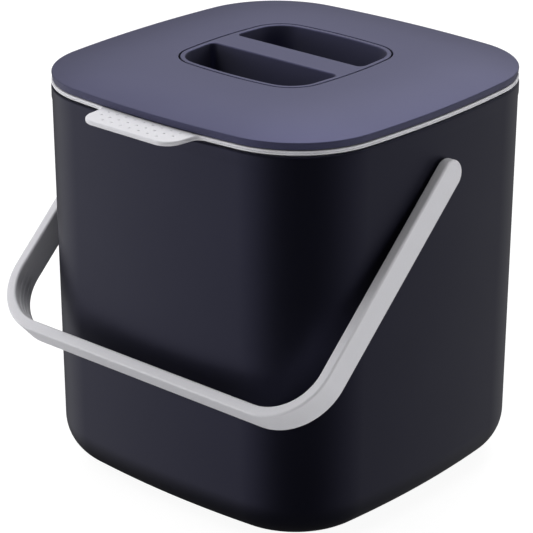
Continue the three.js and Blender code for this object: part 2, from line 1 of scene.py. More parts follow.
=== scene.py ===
"""Kitchen compost bin: the visual model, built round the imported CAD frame.

Sizes are in millimetres and are turned into metres when a mesh is made. The front of the
bin faces -Y and +Z is up. Most walls are lofts: a plan outline, the lid's edge or the grip
opening, moved inwards along its normals by the insets of a profile.
"""

import logging
import math
from dataclasses import dataclass, field
from enum import Enum

import bmesh
import bpy
import numpy as np
from mathutils import Matrix, Vector


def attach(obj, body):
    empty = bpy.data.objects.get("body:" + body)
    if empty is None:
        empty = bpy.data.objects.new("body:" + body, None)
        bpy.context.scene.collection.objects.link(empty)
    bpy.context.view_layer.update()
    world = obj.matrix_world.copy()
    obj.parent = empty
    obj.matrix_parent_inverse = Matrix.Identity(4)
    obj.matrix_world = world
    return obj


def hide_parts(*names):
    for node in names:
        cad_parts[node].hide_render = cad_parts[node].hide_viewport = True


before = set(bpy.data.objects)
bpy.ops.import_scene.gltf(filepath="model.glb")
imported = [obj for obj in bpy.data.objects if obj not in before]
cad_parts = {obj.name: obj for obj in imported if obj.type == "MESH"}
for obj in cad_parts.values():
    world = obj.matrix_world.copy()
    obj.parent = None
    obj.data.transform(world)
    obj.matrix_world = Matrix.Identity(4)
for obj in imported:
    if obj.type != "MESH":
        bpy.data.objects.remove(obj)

LOG = logging.getLogger("compost_bin")

MM = 0.001
QUARTER = math.pi / 2
PHOTO_PIXELS = 533
SENSOR_MM = 36.0
MERGE_DISTANCE = 1e-7
SHARP_DEGREES = 32.0
NORMAL_WEIGHT = 80
OVERRUN = 2.0
SHORT_OVERRUN = 1.0
ROUND_SIDES = 64
BORE_SIDES = 48
WHITE = (1.0, 1.0, 1.0, 1.0)

Profile = list[tuple[float, float]]


class Body(Enum):
    """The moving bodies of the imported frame."""

    OUTER = "outer"
    BAIL = "bail"
    INNER = "inner"
    LID = "lid"
    INSERT = "insert"


class Operation(Enum):
    """What a set of cutters does to a mesh."""

    CUT = "DIFFERENCE"
    JOIN = "UNION"
    KEEP = "INTERSECT"


class Effect(Enum):
    """The surface effects that several finishes share."""

    GRAIN = "moulded grain"
    TONE = "tone drift"
    GLOSS = "gloss drift"


# Outlines and profiles


def unit_rows(vectors: np.ndarray) -> np.ndarray:
    """Vectors brought to unit length, one in each row."""
    return vectors / np.linalg.norm(vectors, axis=1, keepdims=True)


@dataclass(frozen=True)
class Outline:
    """A closed outline, anticlockwise, whose points carry their outward normals."""

    points: np.ndarray
    normals: np.ndarray

    def inset(self, distance: float) -> "Outline":
        """The outline moved inwards along its normals."""
        return Outline(self.points - self.normals * distance, self.normals)

    def ring(self, inset: float, z: float) -> np.ndarray:
        """Points of the outline, moved inwards by an inset and lifted to a height."""
        flat = self.points - self.normals * inset
        return np.column_stack([flat, np.full(len(flat), z)])

    def rings(self, profile: Profile) -> list[np.ndarray]:
        """The rings of a profile of insets and heights."""
        return [self.ring(inset, z) for inset, z in profile]

    def blend(self, other: "Outline", share: float) -> "Outline":
        """The outline a share of the way to another one with as many points.

        Args:
            other: The outline at the far end.
            share: How far the blend goes, from 0 to 1.

        Returns:
            The blended outline.
        """
        points = self.points + (other.points - self.points) * share
        normals = self.normals + (other.normals - self.normals) * share
        return Outline(points, unit_rows(normals))


def plan_arc(
    centre: tuple[float, float], radius: float, start: float, end: float, steps: int, ends: bool = False
) -> Outline:
    """Points of an arc with their normals.

    Args:
        centre: Centre of the arc.
        radius: Radius of the arc.
        start: First angle in radians.
        end: Last angle in radians.
        steps: Number of steps along the arc.
        ends: Whether the last point is included.

    Returns:
        The arc as a piece of an outline.
    """
    angles = np.linspace(start, end, steps + 1)[: None if ends else -1]
    normals = np.column_stack([np.cos(angles), np.sin(angles)])
    return Outline(np.array(centre) + normals * radius, normals)


def join_arcs(*arcs: Outline) -> Outline:
    """One outline from arcs that follow each other."""
    return Outline(np.vstack([a.points for a in arcs]), np.vstack([a.normals for a in arcs]))


@dataclass(frozen=True)
class BowedSquare:
    """A square plan with round corners and slightly bowed sides."""

    width: float
    depth: float
    radius: float
    bow: float
    side_steps: int = 12
    corner_steps: int = 24

    @property
    def corner(self) -> tuple[float, float]:
        """Centre of the back right corner's arc."""
        return self.width / 2 - self.radius - self.bow, self.depth / 2 - self.radius - self.bow

    @property
    def side_radius(self) -> float:
        """Radius of the bowed left and right sides."""
        return self._bowed_radius(self.corner[1])

    @property
    def front_radius(self) -> float:
        """Radius of the bowed front and back."""
        return self._bowed_radius(self.corner[0])

    @property
    def side_angle(self) -> float:
        """Angle at which the right side meets its corner."""
        cx, cy = self.corner
        return math.atan2(cy, cx - self.width / 2 + self.side_radius)

    @property
    def front_angle(self) -> float:
        """Angle at which the back meets its right corner."""
        cx, cy = self.corner
        return math.atan2(cy - self.depth / 2 + self.front_radius, cx)

    def _bowed_radius(self, reach: float) -> float:
        """Radius of a side that is tangent to corners a reach from its middle."""
        return (reach * reach + 2 * self.radius * self.bow + self.bow * self.bow) / (2 * self.bow)

    def outline(self) -> Outline:
        """The plan, from the right side anticlockwise.

        Returns:
            The closed outline with its normals.
        """
        cx, cy = self.corner
        side, back = self.side_angle, self.front_angle
        side_centre = (self.width / 2 - self.side_radius, 0)
        back_centre = (0, self.depth / 2 - self.front_radius)
        half = join_arcs(
            plan_arc(side_centre, self.side_radius, -side, side, self.side_steps),
            plan_arc((cx, cy), self.radius, side, back, self.corner_steps),
            plan_arc(back_centre, self.front_radius, back, math.pi - back, self.side_steps),
            plan_arc((-cx, cy), self.radius, math.pi - back, math.pi - side, self.corner_steps),
        )
        return join_arcs(half, Outline(-half.points, -half.normals))


def profile_arc(
    inset: float, z: float, inset_radius: float, z_radius: float, start: float, end: float, steps: int
) -> Profile:
    """Profile points of an elliptical arc, both ends included, from one quarter turn to another."""
    angles = np.linspace(start, end, steps + 1) * QUARTER
    return [(inset + inset_radius * math.cos(a), z + z_radius * math.sin(a)) for a in angles]


def round_arc(inset: float, z: float, radius: float, start: float, end: float, steps: int) -> Profile:
    """Profile points of a circular arc, both ends included."""
    return profile_arc(inset, z, radius, radius, start, end, steps)


def low_edge(inset: float, z: float, radius: float, steps: int) -> Profile:
    """A rounded lower edge, from the underside round to the outer face."""
    return round_arc(inset + radius, z + radius, radius, 3, 2, steps)


def high_edge(inset: float, z: float, radius: float, steps: int) -> Profile:
    """A rounded upper edge, from the outer face round to the top."""
    return round_arc(inset + radius, z - radius, radius, 2, 1, steps)


def mouth_edge(inset: float, z: float, radius: float, steps: int) -> Profile:
    """A rounded edge of an opening, from the top round to the inner face."""
    return round_arc(inset - radius, z - radius, radius, 1, 0, steps)


# Meshes


@dataclass
class MeshParts:
    """Points in millimetres and faces of a mesh that is being made."""

    points: np.ndarray
    faces: list[tuple[int, ...]]

    def moved(self, x: float, y: float, z: float) -> "MeshParts":
        """A copy moved by a distance."""
        return MeshParts(self.points + np.array([x, y, z]), self.faces)

    def turned(self, matrix: Matrix) -> "MeshParts":
        """A copy turned by a matrix."""
        return MeshParts(self.points @ np.array(matrix.to_3x3()).T, self.faces)


def merge(sets: list[MeshParts]) -> MeshParts:
    """One set of parts out of several, in order.

    Args:
        sets: The sets of parts to put together.

    Returns:
        All their points and faces.
    """
    faces, count = [], 0
    for parts in sets:
        faces += [tuple(i + count for i in face) for face in parts.faces]
        count += len(parts.points)
    return MeshParts(np.vstack([parts.points for parts in sets]), faces)


def loft(rings: list[np.ndarray], closed: bool = False) -> MeshParts:
    """Skins a run of rings with as many points each.

    Args:
        rings: The rings in order.
        closed: Whether the last ring joins the first; otherwise both ends are capped.

    Returns:
        The skin's points and faces.
    """
    count = len(rings[0])
    spans = len(rings) if closed else len(rings) - 1
    faces = []
    for i in range(spans):
        low, high = i * count, (i + 1) % len(rings) * count
        faces += [(low + j, low + (j + 1) % count, high + (j + 1) % count, high + j) for j in range(count)]
    if not closed:
        last = (len(rings) - 1) * count
        faces.append(tuple(reversed(range(count))))
        faces.append(tuple(range(last, last + count)))
    return MeshParts(np.vstack(rings), faces)


def lathe(profile: Profile, sides: int) -> MeshParts:
    """Turns a profile of radii and heights about the Z axis."""
    circle = plan_arc((0, 0), 0, 0, 4 * QUARTER, sides)
    return loft(circle.rings([(-radius, z) for radius, z in profile]))


def rod(radius: float, low: float, high: float, sides: int) -> MeshParts:
    """A plain rod on the Z axis."""
    return lathe([(0, low), (radius, low), (radius, high), (0, high)], sides)


def make_object(name: str, parts: MeshParts) -> bpy.types.Object:
    """Makes a clean object in metres from mesh parts.

    Args:
        name: Name of the object and its mesh.
        parts: The points in millimetres and the faces.

    Returns:
        The object, linked to the scene, with its normals outwards.
    """
    mesh = bpy.data.meshes.new(name)
    mesh.from_pydata((parts.points * MM).tolist(), [], parts.faces)
    work = bmesh.new()
    work.from_mesh(mesh)
    bmesh.ops.remove_doubles(work, verts=work.verts, dist=MERGE_DISTANCE)
    bmesh.ops.dissolve_degenerate(work, edges=work.edges, dist=MERGE_DISTANCE)
    bmesh.ops.recalc_face_normals(work, faces=work.faces)
    work.to_mesh(mesh)
    work.free()
    obj = bpy.data.objects.new(name, mesh)
    bpy.context.scene.collection.objects.link(obj)
    return obj


def bake_modifiers(obj: bpy.types.Object) -> None:
    """Replaces an object's mesh by its modified form and drops the modifiers.

    Args:
        obj: The object whose modifiers are baked.
    """
    graph = bpy.context.evaluated_depsgraph_get()
    shaped = bpy.data.meshes.new_from_object(obj.evaluated_get(graph))
    obj.modifiers.clear()
    old = obj.data
    obj.data = shaped
    bpy.data.meshes.remove(old)
    shaped.name = obj.name


def combine(
    obj: bpy.types.Object, tool: bpy.types.Object, operation: Operation, crossed: bool = False
) -> None:
    """Cuts, joins or crops an object with another one, which is used up.

    Args:
        obj: The object to shape.
        tool: The object that shapes it.
        operation: What the tool does.
        crossed: Whether the object's own parts cross each other.
    """
    modifier = obj.modifiers.new("shape", "BOOLEAN")
    modifier.operation = operation.value
    modifier.solver = "EXACT"
    modifier.use_self = crossed
    modifier.object = tool
    bake_modifiers(obj)
    mesh = tool.data
    bpy.data.objects.remove(tool)
    bpy.data.meshes.remove(mesh)


def shape_with(obj: bpy.types.Object, parts: MeshParts, operation: Operation) -> None:
    """Cuts, joins or crops an object with other mesh parts."""
    combine(obj, make_object(obj.name + "_tool", parts), operation)


def smooth(obj: bpy.types.Object) -> None:
    """Shades an object smoothly, with sharp edges and weighted normals.

    Args:
        obj: The object to shade.
    """
    obj.data.shade_smooth()
    obj.data.set_sharp_from_angle(angle=math.radians(SHARP_DEGREES))
    modifier = obj.modifiers.new("normals", "WEIGHTED_NORMAL")
    modifier.keep_sharp = True
    modifier.weight = NORMAL_WEIGHT
    bake_modifiers(obj)


# Surface effects and finishes


class NodeSheet:
    """Adds and joins the nodes of one node tree."""

    def __init__(self, tree: bpy.types.NodeTree) -> None:
        """Starts on an empty tree."""
        self.tree = tree
        tree.nodes.clear()

    def add(self, kind: str, **settings: object) -> bpy.types.Node:
        """Adds a node.

        Args:
            kind: The node's type.
            settings: Properties of the node, set by name.

        Returns:
            The new node.
        """
        node = self.tree.nodes.new(kind)
        for name, value in settings.items():
            setattr(node, name, value)
        return node

    def feed(self, socket: bpy.types.NodeSocket, source: object) -> None:
        """Joins an output to an input, or sets the input's value.

        Args:
            socket: The input.
            source: An output, or a value.
        """
        if isinstance(source, bpy.types.NodeSocket):
            self.tree.links.new(source, socket)
        else:
            socket.default_value = source

    def fill(self, node: bpy.types.Node, inputs: dict[str | int, object]) -> bpy.types.Node:
        """Feeds several inputs of a node and gives the node back.

        Args:
            node: The node.
            inputs: An output or a value for each input's name or number.

        Returns:
            The same node.
        """
        for key, source in inputs.items():
            self.feed(node.inputs[key], source)
        return node

    def math(self, operation: str, *values: object, clamp: bool = False) -> bpy.types.NodeSocket:
        """A math node's output.

        Args:
            operation: The node's operation.
            values: Sockets or numbers for its inputs.
            clamp: Whether the result is kept between 0 and 1.

        Returns:
            The result.
        """
        node = self.add("ShaderNodeMath", operation=operation, use_clamp=clamp)
        for socket, value in zip(node.inputs, values):
            self.feed(socket, value)
        return node.outputs[0]

    def ramp(self, value: object, low: float, high: float, top: float) -> bpy.types.NodeSocket:
        """A smooth rise from zero.

        Args:
            value: The socket that the rise follows.
            low: Value at which it starts.
            high: Value at which it ends.
            top: What it rises to.

        Returns:
            The risen value.
        """
        node = self.add("ShaderNodeMapRange", interpolation_type="SMOOTHSTEP")
        limits = {"From Min": low, "From Max": high, "To Min": 0.0, "To Max": top}
        return self.fill(node, {"Value": value, **limits}).outputs["Result"]

    def noise(self, place: object, scale: object, detail: float, roughness: float) -> bpy.types.NodeSocket:
        """A noise texture's value.

        Args:
            place: Coordinates.
            scale: Cells per metre.
            detail: Octaves.
            roughness: Weight of the finer octaves.

        Returns:
            Noise about a half.
        """
        node = self.add("ShaderNodeTexNoise", noise_dimensions="3D")
        inputs = {"Vector": place, "Scale": scale, "Detail": detail, "Roughness": roughness}
        return self.fill(node, inputs).outputs["Fac"]

    def swing(self, noise: bpy.types.NodeSocket, reach: bpy.types.NodeSocket) -> bpy.types.NodeSocket:
        """Noise moved to swing about zero, times its reach."""
        return self.math("MULTIPLY", self.math("SUBTRACT", noise, 0.5), reach)


@dataclass(frozen=True)
class Port:
    """A named input or output of an effect."""

    name: str
    kind: str
    value: object = None
    output: bool = False


class EffectLibrary:
    """Builds each surface effect once, as a node group."""

    def __init__(self) -> None:
        """Starts with no groups."""
        self._groups: dict[Effect, bpy.types.NodeTree] = {}

    def group(self, effect: Effect) -> bpy.types.NodeTree:
        """The node group of an effect, made on first use.

        Args:
            effect: The effect.

        Returns:
            Its node group.
        """
        if effect not in self._groups:
            makers = {Effect.GRAIN: self._grain, Effect.TONE: self._tone, Effect.GLOSS: self._gloss}
            self._groups[effect] = makers[effect]()
        return self._groups[effect]

    @staticmethod
    def _start(effect: Effect, ports: list[Port]) -> tuple[NodeSheet, bpy.types.Node, bpy.types.Node]:
        """Makes an empty group with its ports.

        Args:
            effect: The effect that names the group.
            ports: Its inputs and outputs.

        Returns:
            The node sheet, the input node and the output node.
        """
        tree = bpy.data.node_groups.new(effect.value, "ShaderNodeTree")
        for port in ports:
            socket = tree.interface.new_socket(
                port.name, in_out="OUTPUT" if port.output else "INPUT", socket_type=port.kind
            )
            if port.value is not None:
                socket.default_value = port.value
        sheet = NodeSheet(tree)
        return sheet, sheet.add("NodeGroupInput"), sheet.add("NodeGroupOutput")

    def _grain(self) -> bpy.types.NodeTree:
        """Fine pits and pimples of a spark-eroded mould, as a height.

        Returns:
            The node group.
        """
        sheet, given, result = self._start(
            Effect.GRAIN,
            [
                Port("Scale", "NodeSocketFloat", 900.0),
                Port("Ripple", "NodeSocketFloat", 0.2),
                Port("Height", "NodeSocketFloat", output=True),
            ],
        )
        place = sheet.add("ShaderNodeTexCoord").outputs["Object"]
        fine = sheet.noise(place, given.outputs["Scale"], detail=3.0, roughness=0.65)
        broad = sheet.noise(place, scale=9.0, detail=1.0, roughness=0.4)
        wave = sheet.math("MULTIPLY", broad, given.outputs["Ripple"])
        sheet.feed(result.inputs["Height"], sheet.math("ADD", fine, wave))
        return sheet.tree

    def _tone(self) -> bpy.types.NodeTree:
        """Slow drift of a plastic's colour with fine specks.

        Returns:
            The node group.
        """
        sheet, given, result = self._start(
            Effect.TONE,
            [
                Port("Color", "NodeSocketColor", (0.5, 0.5, 0.5, 1.0)),
                Port("Drift", "NodeSocketFloat", 0.05),
                Port("Specks", "NodeSocketFloat", 0.03),
                Port("Color", "NodeSocketColor", output=True),
            ],
        )
        place = sheet.add("ShaderNodeTexCoord").outputs["Object"]
        clouds = sheet.noise(place, scale=14.0, detail=2.0, roughness=0.5)
        dots = sheet.noise(place, scale=1400.0, detail=1.0, roughness=0.5)
        slow = sheet.swing(clouds, given.outputs["Drift"])
        quick = sheet.swing(dots, given.outputs["Specks"])
        value = sheet.math("ADD", sheet.math("ADD", slow, quick), 1.0)
        shade = sheet.add("ShaderNodeVectorMath", operation="SCALE")
        sheet.fill(shade, {0: given.outputs["Color"], "Scale": value})
        sheet.feed(result.inputs["Color"], shade.outputs[0])
        return sheet.tree

    def _gloss(self) -> bpy.types.NodeTree:
        """Faint rubbed patches in a surface's roughness.

        Returns:
            The node group.
        """
        sheet, given, result = self._start(
            Effect.GLOSS,
            [
                Port("Roughness", "NodeSocketFloat", 0.5),
                Port("Rub", "NodeSocketFloat", 0.05),
                Port("Roughness", "NodeSocketFloat", output=True),
            ],
        )
        place = sheet.add("ShaderNodeTexCoord").outputs["Object"]
        patches = sheet.noise(place, scale=22.0, detail=4.0, roughness=0.6)
        rubbed = sheet.swing(patches, given.outputs["Rub"])
        value = sheet.math("ADD", given.outputs["Roughness"], rubbed, clamp=True)
        sheet.feed(result.inputs["Roughness"], value)
        return sheet.tree


@dataclass(frozen=True)
class Finish:
    """A moulded or soft surface with grain, tone and gloss that vary over it."""

    slot: str
    colour: tuple[float, float, float]
    roughness: float
    grain_scale: float = 900.0
    grain_depth_mm: float = 0.012
    ripple: float = 0.3
    drift: float = 0.06
    specks: float = 0.06
    rub: float = 0.06
    specular: float = 0.5
    specular_tint: tuple[float, float, float] = (1.0, 1.0, 1.0)
    sheen: float = 0.0

    def material(self, library: EffectLibrary) -> bpy.types.Material:
        """Makes the material.

        Args:
            library: Source of the shared effects.

        Returns:
            A node material for this finish.
        """
        made = bpy.data.materials.new(self.slot)
        made.use_nodes = True
        sheet = NodeSheet(made.node_tree)
        shader = sheet.add("ShaderNodeBsdfPrincipled")
        surface = sheet.add("ShaderNodeOutputMaterial")
        sheet.feed(surface.inputs["Surface"], shader.outputs["BSDF"])

        def placed(effect: Effect, **inputs: object) -> bpy.types.Node:
            """An effect's group, placed in the material."""
            return sheet.fill(sheet.add("ShaderNodeGroup", node_tree=library.group(effect)), inputs)

        colour = (*self.colour, 1.0)
        tone = placed(Effect.TONE, Color=colour, Drift=self.drift, Specks=self.specks)
        gloss = placed(Effect.GLOSS, Roughness=self.roughness, Rub=self.rub)
        grain = placed(Effect.GRAIN, Scale=self.grain_scale, Ripple=self.ripple)
        height = {"Distance": self.grain_depth_mm * MM, "Height": grain.outputs["Height"]}
        bump = sheet.fill(sheet.add("ShaderNodeBump"), {"Strength": 1.0, **height})
        sheet.fill(
            shader,
            {
                "Base Color": tone.outputs["Color"],
                "Roughness": gloss.outputs["Roughness"],
                "Normal": bump.outputs["Normal"],
                "Specular IOR Level": self.specular,
                "Specular Tint": (*self.specular_tint, 1.0),
                "Sheen Weight": self.sheen,
            },
        )
        return made


NAVY = Finish(
    slot="navy_plastic",
    colour=(0.003, 0.003, 0.006),
    roughness=0.42,
    specular=0.6,
    specular_tint=(0.6, 0.6, 1.0),
)
# Same navy plastic as the outer bucket (NAVY), with a base colour about seventeen times lighter: painted
# light standing in for the light that falls on the lid's top. The lid shell, liner, grip insert and filter
# tray all take it.
NAVY_PAINTED_LIGHT = Finish(
    slot="navy_lid_plastic",
    colour=(0.05, 0.05, 0.071),
    roughness=0.5,
    specular=0.75,
    specular_tint=(0.3, 0.3, 1.0),
)
LIGHT_GREY = Finish(
    slot="light_grey_plastic",
    colour=(0.66, 0.655, 0.69),
    roughness=0.42,
    grain_depth_mm=0.02,
)
GREY_SILICONE = Finish(
    slot="grey_silicone",
    colour=(0.45, 0.46, 0.48),
    roughness=0.6,
    rub=0.1,
    sheen=0.1,
)
FOOT_RUBBER = Finish(
    slot="foot_rubber",
    colour=(0.03, 0.03, 0.032),
    roughness=0.75,
    grain_depth_mm=0.03,
)
CHARCOAL_FELT = Finish(
    slot="charcoal_felt",
    colour=(0.015, 0.015, 0.015),
    roughness=0.95,
    grain_scale=420.0,
    grain_depth_mm=0.25,
    drift=0.3,
    specks=0.6,
    sheen=0.3,
)


class FinishShelf:
    """Keeps one material for each finish."""

    def __init__(self) -> None:
        """Starts with no materials."""
        self.library = EffectLibrary()
        self._materials: dict[str, bpy.types.Material] = {}

    def material(self, finish: Finish) -> bpy.types.Material:
        """The material of a finish, made on first use.

        Args:
            finish: The finish.

        Returns:
            Its material.
        """
        if finish.slot not in self._materials:
            self._materials[finish.slot] = finish.material(self.library)
        return self._materials[finish.slot]

    def dress(self, obj: bpy.types.Object, finish: Finish) -> None:
        """Gives an object a finish and its slot of the record.

        Args:
            obj: The object.
            finish: The finish it gets.
        """
        obj.data.materials.clear()
        obj.data.materials.append(self.material(finish))


# Heights that the pieces share


@dataclass(frozen=True)
class Levels:
    """Heights above the feet, from the bottom up, and the insets of the nested walls."""

    base: float = 1.0
    body_height: float = 196.9
    body_floor: float = 2.6
    bucket_floor_gap: float = 3.0
    seat_gap: float = 0.3
    flange_thickness: float = 2.4
    skirt_height: float = 3.6
    lid_rise: float = 5.6
    pocket_depth: float = 18.0
    insert_wall: float = 1.6
    filter_thickness: float = 6.0
    tray_floor_thickness: float = 1.6
    pivot_drop: float = 25.4
    body_rim_inset: float = -1.6
    body_wall: float = 2.4
    neck_step: float = 0.3
    bucket_side_gap: float = 3.2
    bucket_wall: float = 1.8
    plug_margin: float = 1.6

    @property
    def rim(self) -> float:
        """Top of the outer bucket."""
        return self.base + self.body_height

    @property
    def flange_low(self) -> float:
        """Underside of the inner bucket's flange."""
        return self.rim + self.seat_gap

    @property
    def flange_top(self) -> float:
        """Top of the inner bucket's flange."""
        return self.flange_low + self.flange_thickness

    @property
    def lid_low(self) -> float:
        """Lower edge of the lid's skirt."""
        return self.flange_top + self.seat_gap

    @property
    def shoulder(self) -> float:
        """Top of the lid's skirt."""
        return self.lid_low + self.skirt_height

    @property
    def crown(self) -> float:
        """Top of the lid and the grip insert."""
        return self.shoulder + self.lid_rise

    @property
    def pivot(self) -> float:
        """Axis of the bail."""
        return self.rim - self.pivot_drop

    @property
    def bucket_low(self) -> float:
        """Underside of the inner bucket."""
        return self.base + self.body_floor + self.bucket_floor_gap

    @property
    def cup_low(self) -> float:
        """Underside of the finger pockets' cups."""
        return self.crown - self.pocket_depth - self.insert_wall

    @property
    def filter_top(self) -> float:
        """Top of the charcoal filter."""
        return self.cup_low - self.seat_gap

    @property
    def filter_low(self) -> float:
        """Underside of the charcoal filter."""
        return self.filter_top - self.filter_thickness

    @property
    def tray_floor(self) -> float:
        """Upper face of the tray's floor."""
        return self.filter_low - self.seat_gap

    @property
    def tray_low(self) -> float:
        """Underside of the filter tray."""
        return self.tray_floor - self.tray_floor_thickness

    @property
    def ledge_top(self) -> float:
        """Ledge that carries the filter tray."""
        return self.tray_low - self.seat_gap

    @property
    def body_inner_inset(self) -> float:
        """Inner face of the outer bucket's wall."""
        return self.body_rim_inset + self.neck_step + self.body_wall

    @property
    def bucket_outer_inset(self) -> float:
        """Outer face of the inner bucket's wall."""
        return self.body_inner_inset + self.bucket_side_gap

    @property
    def bucket_inner_inset(self) -> float:
        """Inner face of the inner bucket's wall."""
        return self.bucket_outer_inset + self.bucket_wall

    @property
    def plug_outer_inset(self) -> float:
        """Outer face of the lid's plug wall."""
        return self.bucket_inner_inset + self.plug_margin


LEVELS = Levels()
LID_SQUARE = BowedSquare(width=190.0, depth=189.0, radius=46.0, bow=2.3)
OPENING_SQUARE = BowedSquare(width=86.8, depth=86.8, radius=18.6, bow=1.3)
LID_OUTLINE = LID_SQUARE.outline()
OPENING_OUTLINE = OPENING_SQUARE.outline()


class SubAssembly:
    """A group of pieces that ride on one body."""

    body: Body

    def build(self, shelf: FinishShelf) -> list[bpy.types.Object]:
        """Makes the pieces, with materials from the shelf."""
        raise NotImplementedError

    def place(self, shelf: FinishShelf, obj: bpy.types.Object, finish: Finish, node: str) -> bpy.types.Object:
        """Finishes one piece: smooth, dressed, riding on its body and standing for a node.

        Args:
            shelf: Source of the materials.
            obj: The piece.
            finish: Its finish.
            node: The CAD node it stands for.

        Returns:
            The same piece.
        """
        smooth(obj)
        shelf.dress(obj, finish)
        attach(obj, self.body.value)
        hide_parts(node)
        LOG.info("%s on %s: %d faces", obj.name, self.body.value, len(obj.data.polygons))
        return obj


@dataclass
class OuterBucket(SubAssembly):
    """The dark outer bucket with its pivot holes and foot recesses, and the feet."""

    draft: float = 1.5
    base_radius: float = 22.0
    neck_height: float = 6.0
    neck_slope: float = 1.5
    pivot_hole_radius: float = 4.5
    foot_radius: float = 7.0
    foot_edge_radius: float = 0.8
    foot_recess: float = 1.1
    foot_spacing: float = 102.0
    foot_dish_depth: float = 0.25
    foot_dish_share: float = 0.55
    foot_ring_share: float = 0.62
    base_steps: int = 20
    rim_steps: int = 12
    floor_steps: int = 16
    edge_steps: int = 6
    body: Body = Body.OUTER

    def profile(self) -> Profile:
        """The wall from the base's underside over the rim and down to the inner floor.

        Returns:
            Pairs of inset and height.
        """
        crown = LEVELS.body_wall / 2
        rim = LEVELS.body_rim_inset
        neck_low = LEVELS.rim - self.neck_height
        radius = self.base_radius
        bend = rim + LEVELS.neck_step + self.draft + radius
        bend_z = LEVELS.base + radius
        inner_radii = radius - LEVELS.body_wall, radius - LEVELS.body_floor
        wall_top = neck_low - self.neck_slope
        return [
            *round_arc(bend, bend_z, radius, -1, -2, self.base_steps),
            (rim + LEVELS.neck_step, wall_top),
            (rim, neck_low),
            *round_arc(rim + crown, LEVELS.rim - crown, crown, 2, 0, self.rim_steps),
            (rim + LEVELS.body_wall, neck_low),
            (LEVELS.body_inner_inset, wall_top),
            *profile_arc(bend, bend_z, *inner_radii, -2, -1, self.floor_steps),
        ]

    def foot_places(self) -> dict[str, tuple[float, float]]:
        """Name and centre of each foot.

        Returns:
            A place on the base for each name.
        """
        reach = self.foot_spacing / 2
        return {
            "foot_pad_front_left": (-reach, -reach),
            "foot_pad_front_right": (reach, -reach),
            "foot_pad_back_left": (-reach, reach),
            "foot_pad_back_right": (reach, reach),
        }

    def build(self, shelf: FinishShelf) -> list[bpy.types.Object]:
        """Makes the bucket and its feet.

        Args:
            shelf: Source of the materials.

        Returns:
            The pieces made.
        """
        shell = make_object("outer_bucket_skin", loft(LID_OUTLINE.rings(self.profile())))
        recess_radius = self.foot_radius + LEVELS.seat_gap
        recess = rod(recess_radius, LEVELS.base - OVERRUN, LEVELS.base + self.foot_recess, ROUND_SIDES)
        recesses = [recess.moved(*place, 0) for place in self.foot_places().values()]
        reach = LID_SQUARE.width
        hole = rod(self.pivot_hole_radius, -reach, reach, BORE_SIDES)
        hole = hole.turned(Matrix.Rotation(QUARTER, 3, "Y")).moved(0, 0, LEVELS.pivot)
        shape_with(shell, merge([*recesses, hole]), Operation.CUT)
        pieces = [self.place(shelf, shell, NAVY, "outer_bucket")]
        for name, (x, y) in self.foot_places().items():
            pad = make_object(name + "_skin", self.foot().moved(x, y, 0))
            pieces.append(self.place(shelf, pad, FOOT_RUBBER, name))
        return pieces

    def foot(self) -> MeshParts:
        """One foot pad on the Z axis, with a shallow dish in its underside.

        Returns:
            Its points and faces.
        """
        top = LEVELS.base + self.foot_recess - LEVELS.seat_gap
        edge = self.foot_edge_radius
        radius = self.foot_radius
        dish = self.foot_dish_depth
        profile = [(0, dish), (radius * self.foot_dish_share, dish), (radius * self.foot_ring_share, 0)]
        for angle in np.linspace(0, QUARTER, self.edge_steps + 1):
            profile.append((radius - edge + edge * math.sin(angle), edge - edge * math.cos(angle)))
        return lathe([*profile, (radius, top), (0, top)], ROUND_SIDES)


